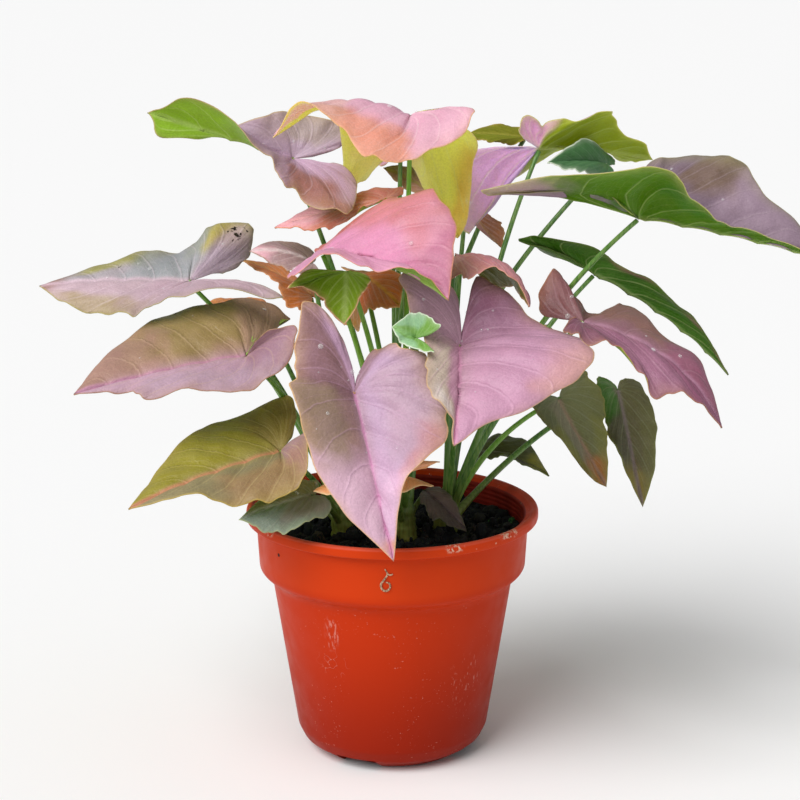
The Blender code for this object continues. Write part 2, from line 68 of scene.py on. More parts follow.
# The pot
POT_HEIGHT = 130.0
LIP_RADIUS = 76.0
LIP_DEPTH = 5.5
LIP_FOOT = POT_HEIGHT - LIP_DEPTH
LIP_MOUTH = 72.6
BAND_TOP_RADIUS = 70.8
BAND_FOOT_RADIUS = 69.4
BAND_FOOT = 97.0
WALL_TOP_RADIUS = 62.6
WALL_FOOT_RADIUS = 50.2
WALL_FOOT = 12.0
FOOT_RADIUS = 38.0
WALL_THICK = 1.7
FLOOR_THICK = 2.4
MOUTH_RADIUS = BAND_TOP_RADIUS - WALL_THICK
RIB_PITCH = 2.6
POT_STEPS = 224
NOTCHES = 4
NOTCH_FIRST = -114
NOTCH_WIDTH = 22.0
NOTCH_HEIGHT = 6.6
NOTCH_DEEP = 26
NOTCH_RADIUS = 47

# The soil and the short stems
SOIL_LEVEL = 116.0
SOIL_GAP = 0.5
SOIL_STEPS = 180
CRUMBS = 900
CROWN_FOOT = 99.7
CROWN_RINGS = 26
CROWN_SIDES = 20
Stem = namedtuple("Stem", "x y radius top_radius top")
STEMS = {
    "left": Stem(-26, -6, 7.5, 4.5, 134),
    "middle": Stem(6, -14, 8.0, 5.0, 138),
    "right": Stem(28, 2, 8.0, 5.0, 136),
    "back": Stem(2, 30, 7.5, 4.5, 136),
}
PETIOLE_RADIUS = 1.9
PETIOLE_TIP = 1.1
PETIOLE_RINGS = 44
PETIOLE_SIDES = 14
PETIOLE_KNEE = (0.3, 0.3, 0.6)
PETIOLE_FOOT_SWELL = 1.3
# How fresh a green the brighter stalks are
FRESH_STALKS = {"crest": 1.0, "spot": 0.75, "olive_mid": 0.6, "dark_one": 0.9, "wing": 0.4, "dome": 0.9,
                "fold": 0.9, "front": 0.8, "amber": 0.7}
PLAIN_STALK = 0.3

# The blades
THICK = 0.8
ROWS = 96
COLUMNS = 14
KNOTS = 6
JOINT_KNOT = 2.6
WAVES = 2.5
WAVE_SHARE = 0.025
WAVE_SHIFT = 1.3
CAMBER = 0.10
EDGE_SHARE = 0.034
EDGE_OUT = 0.12
BUMP_KNOTS = 0.32
VEIN_KNOTS = 0.5
VEIN_SWEEP = 1.5
PUFF_SHARE = 0.13
PUFF_MOST = 1.3
LUMPS = 0.9
RIB_DIP = 0.35
RIB_SWELL = 0.7
EDGE_THIN = 0.55
WELD = 0.004

Half = namedtuple("Half", "wide lobe fore back inner", defaults=[0.1, 0.1, None])
Leaf = namedtuple("Leaf", "stem joint tip arch left right bend wave", defaults=[(0, 0, 0), 1])

# Each blade's stem, joint, tip, arch of the midrib and halves. A half has its widest point and its
# lobe's end, then its points before and behind the widest, or how far the edge bulges there, and one
# between lobe and joint. A stalk's bend shifts its knee, and wave is how high the edge's waves are.
LEAVES = {
    "spot": Leaf("left", (-103, 0, 248), (-181, 10, 244), 3,
        ((-132, -22, 236), (-59, -26, 249), (-162, -8, 236), (-111, -22, 241)),
        ((-111, 26, 260), (-72, 30, 270), (-144, 18, 255), (-93, 30, 272), (-79, 16, 254)), wave=1.3),
    "olive_mid": Leaf("left", (-72, -35, 217), (-153, -65, 205), 3,
        ((-111, -66, 205), (-45, -50, 232), 0.0, (-68, -64, 207), (-63, -44, 230)),
        ((-105, -5, 235), (-52, 5, 229), 0.32, (-75, 2, 239), (-67, -12, 228)), bend=(-4, 12, 8)),
    "olive_low": Leaf("left", (-55, -50, 172), (-125, -90, 155), 4,
        ((-67, -88, 157), (-40, -60, 185), (-96, -88, 160), (-44, -80, 165)),
        ((-97, -38, 179), (-52, -20, 192), 0.12, (-74, -25, 186))),
    "grey_low": Leaf("left", (-40, -45, 148), (-73, -84, 148), 2,
        ((-53, -80, 140), (-30, -60, 146), 0.1, 0.15), ((-56, -52, 155), (-37, -35, 153))),
    "mauve_top": Leaf("middle", (-52, 36, 306), (-126, 35, 330), 0,
        ((-65, 8, 312), (-24, -8, 281), (-100, 18, 341), (-52, -5, 298), (-19, 14, 298)),
        ((-70, 42, 326), (-28, 46, 322), (-111, 34, 316), (-50, 46, 330), (-28, 38, 311)), bend=(-8, 24, 0),
        wave=1.3),
    "coral": Leaf("middle", (-4, 11, 288), (-60, 11, 274), 2,
        ((-35, 2, 275), (-11, 6, 287), 0.1, (-21, 4, 279)), ((-32, 26, 287), (5, 22, 293), 0.1, 0.15),
        bend=(20, 0, 4)),
    "crest": Leaf("middle", (9, 8, 331), (-59, -8, 322), 25,
        ((-16, -28, 317), (41, -12, 336), (-39, -16, 337), (10, -26, 312), (24, 0, 335)),
        ((-22, 32, 291), (34, 14, 267), (-30, 18, 332), (4, 36, 305), (43, 8, 318)), bend=(0, 4, 0)),
    "front": Leaf("middle", (-18, -65, 205), (1, -100, 132), 4,
        ((27, -84, 193), (2, -58, 228), (6, -96, 168), (19, -70, 220)),
        ((-45, -80, 206), (-38, -55, 246), (-29, -94, 164), (-45, -68, 223), (-22, -58, 228))),
    "dome": Leaf("middle", (-34, -25, 267), (27, -75, 253), 12,
        ((22, -35, 299), (-28, -6, 273), (30, -58, 279), (0, -12, 292)),
        ((-2, -76, 268), (-50, -54, 259), (15, -76, 265), (-29, -66, 271)), bend=(-4, 0, 0)),
    "rose_right": Leaf("right", (33, -55, 226), (29, -105, 190), 6,
        ((93, -78, 228), (45, -38, 257), (65, -94, 206), (71, -52, 238), (38, -42, 245)),
        ((15, -84, 217), (4, -50, 260), (24, -98, 207), (16, -60, 231), (29, -48, 253)), bend=(4, 4, 0)),
    "rose_small": Leaf("right", (32, -5, 262), (66, -62, 247), 20,
        ((55, -2, 244), (38, 14, 256), (61, -44, 249), (47, 8, 246)),
        ((45, -54, 263), (27, -34, 256), (58, -58, 260))),
    "lilac_long": Leaf("right", (95, -25, 232), (163, -45, 183), 22,
        ((122, 0, 236), (83, -5, 257), (150, -24, 218), (100, -8, 232), (73, -14, 236)),
        ((128, -55, 207), (88, -42, 230), (145, -55, 200), (106, -48, 223)), wave=1.6),
    "wing": Leaf("right", (122, -15, 283), (217, -25, 262), 3,
        ((175, 10, 308), (132, 20, 306), (191, -5, 292), (159, 20, 311)),
        ((149, -36, 288), (47, -42, 299), (176, -28, 280), (124, -48, 315), (102, -28, 295)),
        bend=(0, 16, 0), wave=1.3),
    "top_right": Leaf("right", (76, 40, 311), (141, 85, 300), 3,
        ((105, 74, 313), (41, 32, 271), (126, 82, 298), (61, 38, 293), (37, 34, 307)),
        ((112, 52, 329), (70, 38, 328), (128, 66, 315), (90, 42, 326), (65, 38, 320)), wave=1.3),
    "green_long": Leaf("right", (107, 45, 244), (182, 55, 187), 8, ((143, 72, 228), (74, 72, 258)),
        ((143, 38, 236), (66, 30, 266), (167, 46, 210), (107, 30, 260), (88, 36, 256))),
    "dark_one": Leaf("right", (88, 25, 181), (112, 5, 138), 3, ((111, 12, 170), (102, 30, 195), 0.1, 0.2),
        ((89, 18, 160), (73, 30, 178), (103, 8, 143), (78, 25, 170)), bend=(0, 32, 0)),
    "dark_two": Leaf("right", (121, 45, 181), (135, 35, 118), 3,
        ((142, 40, 158), (131, 54, 184), (140, 36, 136), (139, 48, 174)), ((117, 38, 158), (110, 52, 185)),
        bend=(20, 50, 0)),
    "low_back": Leaf("right", (48, 45, 147), (86, 55, 130), 5, ((73, 62, 148), (57, 65, 151)),
        ((64, 42, 144), (46, 35, 147))),
    "soil_leaf": Leaf("middle", (17, -5, 139), (38, -30, 125), 2, ((31, -15, 138), (24, 0, 140)),
        ((22, -30, 131), (14, -15, 137))),
    "amber": Leaf("middle", (-15, 10, 249), (4, -20, 239), 3, ((4, 10, 249), (-26, 20, 252)),
        ((-10, -18, 238), (-21, -5, 225), 0.1, 0.1, (-33, 2, 238))),
    "mint": Leaf("middle", (11, -57, 231), (0, -60, 237), 2, ((5, -62, 229), (20, -77, 228)),
        ((11, -59, 244), (23, -73, 240))),
    "rust": Leaf("right", (40, 54, 281), (58, 42, 258), 4, ((57, 40, 271), (46, 47, 280)),
        ((44, 50, 269), (36, 54, 282)), bend=(0, 12, 0)),
    "olive_back": Leaf("back", (17, 62, 287), (-5, 80, 296), 2, ((7, 60, 287), (22, 55, 282)),
        ((10, 80, 297), (22, 70, 301)), bend=(-8, -16, 12)),
    "apricot_low": Leaf("middle", (-3, -53, 161), (-38, -70, 158), 4, ((-20, -72, 155), (20, -62, 159)),
        ((-21, -52, 163), (23, -44, 165))),
    "mauve_thin": Leaf("left", (-41, 15, 255), (-73, 10, 262), 8, ((-54, 2, 254), (-38, 2, 249), 0.0),
        ((-58, 20, 266), (-42, 28, 260), 0.2)),
    "orange_back": Leaf("left", (-42, 30, 235), (-79, 42, 252), 3, ((-61, 22, 244), (-49, 20, 228)),
        ((-61, 48, 248), (-37, 42, 231))),
    "orange_far": Leaf("left", (-69, 40, 221), (-107, 45, 224), 3, ((-88, 25, 218), (-64, 25, 215)),
        ((-90, 55, 229), (-69, 58, 227))),
    "teal_back": Leaf("back", (113, 55, 301), (80, 30, 305), 3, ((96, 25, 301), (115, 42, 295)),
        ((102, 48, 315), (118, 66, 302), 0.2)),
    "back_top": Leaf("back", (4, 60, 308), (-8, 132, 305), 10, ((-17, 85, 305), (-8, 50, 301)),
        ((19, 85, 313), (20, 50, 304))),
    "back_mid": Leaf("back", (0, 62, 259), (-5, 150, 232), 10, ((-24, 90, 249), (-21, 50, 261)),
        ((21, 90, 255), (23, 50, 261))),
    "back_left": Leaf("left", (-78, 62, 205), (-123, 130, 175), 8, ((-111, 75, 207), (-87, 40, 221)),
        ((-74, 110, 187), (-56, 70, 206))),
    "back_right": Leaf("back", (58, 62, 205), (91, 140, 181), 8, ((55, 110, 189), (38, 75, 205)),
        ((93, 85, 200), (79, 45, 216))),
    "back_low": Leaf("back", (1, 52, 162), (-8, 125, 126), 8, ((-24, 80, 149), (-22, 45, 167)),
        ((22, 80, 155), (21, 45, 164))),
    "back_side": Leaf("left", (-70, 40, 146), (-111, 105, 124), 6, ((-105, 55, 150), (-80, 22, 165)),
        ((-66, 85, 130), (-53, 50, 146))),
    "fold": Leaf("middle", (-22, -38, 260), (-23, -48, 235), 2,
        ((-34, -46, 248), (-50, -42, 253), (-31, -46, 243), (-43, -44, 254), (-40, -37, 261)),
        ((-15, -46, 249), (-11, -42, 258))),
    "olive_strip": Leaf("back", (70, 62, 314), (39, 52, 317), 2, ((51, 50, 313), (67, 58, 312)),
        ((53, 62, 321), (70, 66, 319)), bend=(0, 4, 0)),
}

# How each blade is coloured: its left half, right half, underside, midrib, rim and veins, then washes.
# A wash is its colour, the half it lies on (l, r, or b for both, in capitals on the underside), from
# and to which knot along the edge (0 tip, 2.6 joint, 6 notch), its amount, and from and to which share
# of the way to the edge, or else 0 and 1.
Look = namedtuple("Look", "left right under rib rim vein washes")
LOOKS = {
    "spot": ("BEA3AC 9C9498 6FA52E D4B8C4 A89C5C E6D2DA", ("98943C", "r", 0.9, 1.6, 0.85, 0.55),
        ("96934A", "r", 2.7, 3.5, 0.8, 0.6), ("8A9294", "r", 1.7, 2.9, 0.7),
        ("B8A444", "r", 3.5, 4, 0.8, 0.75), ("A48AA0", "r", 3.8, 6, 0.7, 0, 0.9),
        ("9E8A50", "l", 0.9, 2.2, 0.7, 0.75), ("B090A0", "l", 2.2, 6, 0.5), ("7A4A20", "b", 0, 0.15, 0.8)),
    "olive_mid": ("BE99AE A2806A 7FA83A C488A8 A87C54 D0B090", ("8C7A3E", "r", 1, 2.5, 0.7, 0.3),
        ("A87E78", "r", 0, 1, 0.6), ("8C7260", "r", 3.4, 4.6, 0.6, 0.3), ("8C6474", "l", 3.4, 6, 0.7, 0.2),
        ("A890A0", "l", 1.6, 3.2, 0.5, 0.6)),
    "olive_low": ("887C5C 90862E 7C9A36 D0846A B49A44 D0BC84", ("7C6434", "r", 3, 5, 0.6, 0, 0.8),
        ("A87A90", "l", 3.4, 5.6, 0.7), ("A87850", "l", 1.8, 3.4, 0.45, 0.5)),
    "grey_low": ("8C9A8C 85834C 6B9A6A BFC4B4 A9B07C CCD0BC", ("A49490", "l", 2, 5, 0.6, 0, 0.7),
        ("8A8440", "r", 1, 4, 0.6, 0.3)),
    "mauve_top": ("BC98B2 AE96A8 86AE22 C8A8C4 C0A674 DCC4D2", ("96583A", "l", 3.2, 4, 0.8, 0.55),
        ("9C8E78", "r", 2.2, 4.2, 0.65, 0.5), ("A08490", "b", 1.6, 2.4, 0.5, 0.3)),
    "coral": ("F0A098 EC9890 8FA53A E8A8A8 D98A50 F3DCD8", ("C45A2A", "b", 1.6, 2.8, 0.6, 0.1, 0.9),
        ("E09AB4", "b", 0, 1.2, 0.6), ("D87880", "r", 2.8, 6, 0.6)),
    # crest: the underside colour FAFF78 is partly the young blade's pale yellow-green and partly a painted
    # glow of the light that comes through it.
    "crest": ("DCA4B8 D898B4 FAFF78 E8B4C8 E4B078 F3DCD8", ("E08A5A", "l", 1.4, 2.6, 0.75, 0.55),
        ("FFDCA0", "R", 2.1, 3, 0.7, 0.5), ("C88C30", "R", 4, 4.6, 0.7, 0.9),
        ("FFC0B8", "L", 0, 0.8, 1, 0, 0.86), ("E8B8A0", "b", 0, 1.2, 0.5)),
    # front: on the right half, the dark wash 805A62 from knot 2.7 to 4.2 is painted shade on the folded lobe,
    # and the lilac wash BC96B4 from 4.4 to 6 is a painted highlight on its lit flap; the dark wash 7C5656 on
    # the left half from knot 4.5 is painted shade.
    "front": ("B897B2 96766E C98A4A CE84B0 DCB078 CCA0BC", ("8C7A5E", "r", 0.8, 2.4, 0.6, 0.45),
        ("805A62", "r", 2.7, 4.2, 0.75), ("BC96B4", "r", 4.4, 6, 0.8), ("AC8C96", "l", 1.8, 3.4, 0.55, 0.4),
        ("C07060", "l", 1.2, 2, 0.5, 0.85), ("7C5656", "l", 4.5, 6, 0.75, 0.15),
        ("DDB4CC", "b", 0, 1.1, 0.7), ("D88A38", "b", -1, -0.1, 0.9)),
    # dome: the right half's colour DA98BA is lightened so the half looks lit although it faces down: painted
    # light.
    "dome": ("D08CA0 DA98BA 7FA23A E49AB8 D8946C DCA0B0", ("C87070", "l", 1.8, 5, 0.6, 0.4),
        ("B4522C", "l", 3.4, 6, 0.7, 0.45), ("D88EB4", "l", 0.7, 2.8, 0.75, 0, 0.24),
        ("B06484", "l", 0, 0.9, 0.6)),
    # rose_right: the near-white wash E6DED6 near the right edge between knots 1.1 and 1.4 is a painted
    # highlight.
    "rose_right": ("BC8AA4 A88A8C 6F7A22 D28CAE CCA474 D8A8C0", ("8A546C", "l", 3, 6, 0.8),
        ("A87E96", "l", 2.2, 3.2, 0.5, 0.3), ("CC9686", "l", 1.5, 1.9, 0.45, 0.8),
        ("CABCA6", "r", 1, 2.6, 0.8, 0.5), ("CC90AE", "r", -1, 2.8, 0.6, -1, 0.2),
        ("E6DED6", "r", 1.1, 1.4, 0.6, 0.75, 0.9), ("946E82", "r", 3.6, 6, 0.65)),
    # rose_small: the underside colour 5E5A22 and the wash 5A5618 over all of it are painted shade, for an
    # underside that sits in shade under the arched blade.
    "rose_small": ("C97C86 C67A84 5E5A22 D898A4 CC9878 F3DCD8", ("5A5618", "B", 0, 6, 0.8)),
    "lilac_long": ("8C646C 94627A 8FA83A B888A0 B07C5C BC94A0", ("8A6450", "l", 1.6, 3.6, 0.7, 0.4),
        ("784440", "l", 3.2, 5.6, 0.75), ("985070", "b", 0, 1, 0.6), ("7C4A5A", "r", 3, 6, 0.6, 0.2)),
    "wing": ("786472 947C8C 4C7A00 9C8890 B4AC74 AC98A0", ("6A5430", "l", 1.9, 2.8, 0.7, 0.6),
        ("A08898", "l", 0.6, 1.6, 0.6, 0.2), ("A890A0", "R", 3.85, 4.2, 0.95, 0.7),
        ("1E6A1C", "R", 2, 2.5, 0.4, 0.6), ("3C7400", "r", 4.95, 6, 1)),
    "top_right": ("C79CCB C9A0CC 8A9A04 D9B4DC B8B468 DCC4E0", ("DCA8DA", "L", 3.2, 6, 0.95),
        ("DCA0CC", "R", 3.45, 6, 0.95, 0.1)),
    "green_long": ("44661A 3C5E16 35640A 6C8C40 6C7A38 6C8C40", ("8C5A5C", "R", 1.4, 1.5, 0.85, 0.98),
        ("8C5A5C", "R", 2.35, 2.4, 0.85, 0.98), ("8C5A5C", "R", 0.2, 0.4, 0.7, 0.9)),
    "dark_one": ("6F7048 65684A 3F7A20 A08674 8E8A48 A0A488", ("A8601A", "b", 0, 0.7, 0.85),
        ("86786C", "r", 1, 3, 0.5, 0, 0.4), ("7C7A34", "b", 0.8, 2, 0.6, 0.7)),
    "dark_two": ("605A3A 4E4A36 3E8A1C 8A7A7A 868C40 9A9C7C", ("807020", "b", 0, 0.7, 0.8),
        ("34661C", "r", 2.6, 6, 0.85, 0.3), ("6E6C40", "l", 0.8, 2.4, 0.6, 0.6)),
    "low_back": ("424418 3E3822 3E5A1C 6F7040 64702C 70744C", ("8A8420", "b", 0, 0.8, 0.8)),
    "soil_leaf": ("5C4A46 504040 3E4A30 6A5A60 60604A 6A6058",),
    "amber": ("E0701C D2640E A88A1E E8A850 F0B878 F3DCD8", ("5A6A1C", "b", 3.4, 6, 0.6, 0.4)),
    "mint": ("6E9C3A 76A444 78B048 A0CC88 E8F0DC B8DCA0", ("A4CCB0", "b", 0.6, 2.6, 0.6, 0.5)),
    "rust": ("A8683C A46034 8A6A3C C49A70 C49460 F3DCD8", ("B08AA0", "r", 0, 2, 0.4)),
    "olive_back": ("A8744C A07A4C 86902C B9A860 C09868 F3DCD8",),
    # apricot_low: its upper colours FFB070 and FFA868 are raised nearly to full to paint the glow of light
    # through the leaf, which sits in shade.
    "apricot_low": ("FFB070 FFA868 E89A50 F0B470 F8D8A0 F3DCD8",),
    "mauve_thin": ("9C7A7C 957478 8A7A5C E0CCCC B09078 F3DCD8", ("E4A6B4", "b", -1, 0.7, 0.85),
        ("8A6C5C", "r", 2, 6, 0.5, 0.3)),
    "orange_back": ("D87428 DD7C2A C98A30 EBB47A E8A878 F3DCD8",),
    "orange_far": ("E88C44 E68C44 C99040 F4C890 F0BC90 F3DCD8",),
    "teal_back": ("3E6A40 3C6A38 34691C 5F8A60 DDE6D0 7CA078",),
    "back_top": ("BC829C B8809A 8FA53A E0A8C8 DCB080 F3DCD8", ("948050", "b", 1, 3, 0.6, 0.6)),
    "back_mid": ("B68298 B07E94 7FA03A DDA4C6 D8AC78 F3DCD8", ("907C54", "b", 0.6, 2.6, 0.65, 0.5)),
    "back_left": ("9E7E72 988060 7C9A36 D49AA8 BCA464 F3DCD8", ("8C823E", "b", 0.6, 3, 0.65, 0.45)),
    "back_right": ("B07C94 AA7890 6F9A34 DCA0C4 D4A878 F3DCD8", ("907848", "b", 0.8, 2.8, 0.65, 0.5)),
    "back_low": ("827E3C 80763E 6F8F34 C4A888 A89E58 C4BC90",),
    "back_side": ("8A7C38 887E3C 6F8F34 CFA48C AFA658 CCC098",),
    "fold": ("7C8A08 80880A 74900C 9CB040 EBA890 90A430",),
    "olive_strip": ("727C04 747804 707C02 A4A040 B49848 A4A040",),
}

# Bumps of the edge that show most, for the left (1) and the right (-1): the knot, how far out of the
# smooth line, and how far above it where that isn't 0
EDGES = {
    "spot": {-1: ((1.05, -1.5), (1.42, 3), (2.3, 1), (3.15, -3), (3.7, -1)),
        1: ((1.45, -3, -1), (2.1, 2, 1), (2.6, -2), (3.4, 2, 2), (4.1, 3, -2))},
    "olive_mid": {-1: ((0.45, 3.5), (1.3, 2), (2.5, -5), (3.5, 2.5)),
        1: ((0.6, -2), (1.1, -3), (1.85, 3, -1), (2.5, -2, 1))},
    "mauve_top": {-1: ((0.68, 4), (1, -4), (3, -2), (3.9, 2)),
        1: ((0.45, -3), (1.25, -5), (1.65, 2), (3.3, -8), (4, 3), (4.4, -3), (5.3, 0, 4))},
    "crest": {-1: ((3.4, -6), (4.5, -6)),
        1: ((0.45, 0, 5), (0.9, 0, 3), (1.7, -4), (4.3, 0, -3), (4.9, 0, -2))},
    "front": {-1: ((2, 4.5), (2.6, -2), (3.6, 6)), 1: ((2.1, 1, 2), (2.75, -5), (4.9, 7, -2))},
    "dome": {-1: ((2, -6),), 1: ((2.55, -7.5), (3.3, 1))},
    "rose_right": {-1: ((0.6, -5), (1.35, 2), (1.7, 0, 3)),
        1: ((0.55, -6), (1.5, 5.5, -1), (2.05, -1), (2.35, 2.5))},
    "rose_small": {1: ((1.6, 0, 5), (2.6, 0, 4)), -1: ((1.2, 2),)},
    "wing": {-1: ((3.4, -2), (3.8, 4.5), (4.6, -2.5)),
        1: ((0.75, 1), (1.1, -4), (1.5, -2), (2.4, 1), (3.5, -2.5))},
    "lilac_long": {1: ((1, 2), (1.45, -8), (1.75, -3), (2.05, 1))},
    "green_long": {-1: ((1.5, 4), (2.6, -7), (3.6, 3)), 1: ((1.8, 2.5), (2.3, 3.5), (2.75, 2))},
    "top_right": {-1: ((0.55, 2), (1.15, -4), (2.15, 2), (2.65, -4), (3, 2), (3.45, -6))},
}

# Blades that show the light through their undersides
YOUNG = ("crest", "wing", "top_right", "olive_strip")

# Dead spots: side, knot, share across and radius
BLIGHT = {"spot": ((-1, 3.75, 0.8, 6.0), (-1, 1.3, 0.45, 1.6))}

# How many rain drops lie on each of these blades
DROPS = {"front": 15, "rose_right": 16, "dome": 14, "spot": 9, "olive_mid": 9, "mauve_top": 8,
         "coral": 6, "rose_small": 6, "lilac_long": 7, "crest": 6, "wing": 8, "grey_low": 4,
         "back_mid": 8, "back_right": 6}

# A dry root stuck to the band, as x and z: the hooked curl, then its short branch
ROOT_CURL = ((-3.4, 118.5), (-2.2, 115.7), (-3.8, 112.8), (-5.3, 110.5), (-4.8, 108.0), (-2.9, 107.0),
             (-1.0, 108.5), (-1.2, 110.9), (-3.0, 111.6))
ROOT_BRANCH = ((-2.6, 116.6), (-1.0, 115.4), (0.6, 115.9))


# Colours and materials


def linear(hex_colour):
    """An sRGB hex colour as linear red, green and blue."""
    parts = np.frombuffer(bytes.fromhex(hex_colour), np.uint8) / 255
    return np.where(parts <= 0.04045, parts / 12.92, ((parts + 0.055) / 1.055) ** 2.4)


def feed(node, inputs):
    """Sets inputs, by place or name, to a number or a hex colour, or links them to an output."""
    for name, value in inputs.items():
        if isinstance(value, bpy.types.NodeSocket):
            node.id_data.links.new(value, node.inputs[name])
        else:
            node.inputs[name].default_value = (*linear(value), 1) if isinstance(value, str) else value


# Settings that these nodes always have here
ALWAYS = {"MapRange": {"interpolation_type": "SMOOTHSTEP"}, "Mix": {"data_type": "RGBA"}}


def add_node(tree, kind, *values, inputs=None, **settings):
    """Adds a shader node with its settings and links, and returns its first live output.

    A kind in capitals is the operation of a Math node. values go to the live inputs in order.
    """
    if kind.isupper():
        kind, settings = "Math", {"operation": kind}
    node = tree.nodes.new("ShaderNode" + kind)
    for name, value in {**ALWAYS.get(kind, {}), **settings}.items():
        setattr(node, name, value)
    live = [place for place, socket in enumerate(node.inputs) if socket.enabled]
    feed(node, {**dict(zip(live, values)), **(inputs or {})})
    return next(socket for socket in node.outputs if socket.enabled)


def new_material(name, **sockets):
    """A Principled material with these sockets set, its shader, and the function that adds its nodes."""
    made = bpy.data.materials.new(name)
    made.use_nodes = True
    shader = made.node_tree.nodes["Principled BSDF"]
    feed(shader, {socket.replace("_", " "): value for socket, value in sockets.items()})
    return made, shader, partial(add_node, made.node_tree)


def place_mm(add):
    """The place on the object in millimetres."""
    return add("VectorMath", add("TexCoord").node.outputs["Object"], 1 / MM, operation="SCALE")


def noise(add, per_mm, detail=2.0, stretch=(1, 1, 1), rough=0.5):
    """Noise with that many waves to a millimetre of the object."""
    place = add("Mapping", place_mm(add), inputs={"Scale": [s * per_mm for s in stretch]})
    return add("TexNoise", place, 1.0, detail, rough)


def layered(add, tone, *layers):
    """The tone with each layer's colour over it, in order. A layer is its share, an amount and a colour."""
    for share, amount, colour in layers:
        tone = add("Mix", share if amount == 1 else add("MULTIPLY", share, amount), tone, colour)
    return tone


def relief(add, *layers):
    """The normal of layers on one another, each a height and how many millimetres it stands out."""
    normal = {}
    for height, out in layers:
        inputs = {"Height": height, "Distance": abs(out) * MM, "Strength": 1.0, **normal}
        normal = {"Normal": add("Bump", inputs=inputs, invert=out < 0)}
    return normal


def leaf_material(name, under, through=0.0):
    """Living leaf: a soft waxy skin over pigment that shifts from cell to cell. through lets light pass it.

    The tint of each place comes with the mesh. Veins lie on the rows of the mesh, and are read from
    the vein count and the width of a vein's field. The skin gives a broad satin shine, the veins fine
    pale lines in shallow grooves, and on the underside ridges.
    """
    made, shader, add = new_material(
        name, Specular_IOR_Level=0.15 if under else 0.3, Subsurface_Weight=through,
        Subsurface_Radius=(1.0, 1.0, 0.6), Subsurface_Scale=2.2 * MM,
    )
    tint, line, rim, sick = (add("Attribute", attribute_name=n) for n in ("tint", "line", "rim", "blight"))
    sick = sick.node.outputs["Fac"]
    count, pitch = add("SeparateXYZ", add("UVMap", uv_map="veins")).node.outputs[:2]
    rim_mm, rib_mm = add("SeparateXYZ", add("UVMap", uv_map="edge")).node.outputs[:2]
    wander = add("MULTIPLY", add("SUBTRACT", noise(add, 0.1), 0.5), 0.22)
    fade = add("MapRange", rim_mm, 0.5, 6.0, 0.25, 1.0)

    def lines(times, core, soft):
        """Veins: times as many as the count has whole steps, with that half width."""
        step = add("MULTIPLY_ADD", add("ADD", count, wander), times, 0.5)
        off = add("ABSOLUTE", add("SUBTRACT", add("FRACT", step), 0.5))
        away = add("MULTIPLY", off, add("DIVIDE", pitch, times))
        return away, add("MULTIPLY", add("MapRange", away, soft, core), fade)

    away, vein = lines(1.0, 0.1, 0.65)
    _, fine_vein = lines(4.0, 0.0, 0.3)
    cells = add("TexVoronoi", place_mm(add), 0.32, feature="DISTANCE_TO_EDGE")
    net = add("MapRange", cells, 0.12, 0.0)
    mottle, speck = noise(add, 0.09, 4.0), noise(add, 1.1)
    dead = add("MapRange", add("MULTIPLY_ADD", sick, 0.35, noise(add, 0.35, 3.0)), 0.72, 0.8)
    tone = layered(
        add, tint,
        (add("MapRange", mottle, 0.3, 0.7), 0.06 if under else 0.2, line),
        (net, 0.05 if under else 0.12, line),
        (fine_vein, 0.12 if under else 0.22, line),
        (vein, 0.5, line),
        (add("MapRange", rib_mm, 2.8, 0.3), 0.62, line),
        (add("MapRange", rim_mm, 0.8, 0.2), 0.65, rim),
        (dead, add("MapRange", sick, 0.1, 0.3), "1E120C"),
    )
    grain = add("MapRange", speck, 0.3, 0.7, 0.93, 1.05)
    grooves = add("MULTIPLY_ADD", add("ADD", net, fine_vein), 0.25, add("MapRange", away, 1.1, 0.0))
    feed(shader, {
        "Base Color": add("VectorMath", tone, grain, operation="SCALE"),
        "Roughness": add("MapRange", mottle, 0.35, 0.65, 0.36, 0.54),
        **relief(add, (grooves, 0.16 if under else -0.16), (noise(add, 0.22, 3.0), 0.5), (speck, 0.05)),
    })
    return made


def water_material():
    """Rain water: a thin white film at low opacity that paints a pale sheen over the leaf, with sharp round
    glints from its shine.
    """
    # The white base colour at alpha 0.22 is a painted pale sheen; the glints come from the specular shine.
    return new_material("clear_rain_water_drops", Base_Color="FFFFFF", Roughness=0.04, Alpha=0.22,
                        Specular_IOR_Level=0.9)[0]


def root_material():
    """Dried fine root: straw-coloured skin, matt and slightly ridged along its length."""
    made, shader, add = new_material("dried_root_fibre", Roughness=0.8)
    ridges = add("MapRange", noise(add, 1.5), 0.4, 0.6)
    feed(shader, {"Base Color": layered(add, "C8A888", (ridges, 1, "7A5A44"))})
    return made


def stalk_material():
    """Living leaf stalk: smooth juicy skin, fresh green to dark green, with fine length-wise streaks."""
    made, shader, add = new_material("living_leaf_stalk_waxy_green", Roughness=0.36, Specular_IOR_Level=0.5)
    streak = noise(add, 0.9, 3.0, (1, 1, 0.06))
    streaks = (add("MapRange", streak, 0.3, 0.7), 0.35, "A9C46A")
    tone = layered(add, add("Attribute", attribute_name="tint"), streaks)
    feed(shader, {"Base Color": tone, **relief(add, (streak, 0.08))})
    return made


def soil_material():
    """Damp peat with bark crumbs: near black, matt, with a few moist glints and green algae specks."""
    made, shader, add = new_material("damp_peat_soil_crumbly", Roughness=0.85, Specular_IOR_Level=0.3)
    wet = (add("MapRange", noise(add, 0.5, 4.0), 0.3, 0.7), 1, "0A0B0E")
    tone = layered(add, add("Attribute", attribute_name="tint"), wet)
    feed(shader, {"Base Color": tone, **relief(add, (noise(add, 1.2, 4.0), 0.5))})
    return made


def near(add, centre, size):
    """1 at a point, falling smoothly to 0 on the ellipsoid with those half sizes round it."""
    moved = {"Location": [-c / s for c, s in zip(centre, size)], "Scale": [1 / s for s in size]}
    place = add("Mapping", place_mm(add), inputs=moved)
    return add("MapRange", add("VectorMath", place, operation="LENGTH"), 1.0, 0.35)


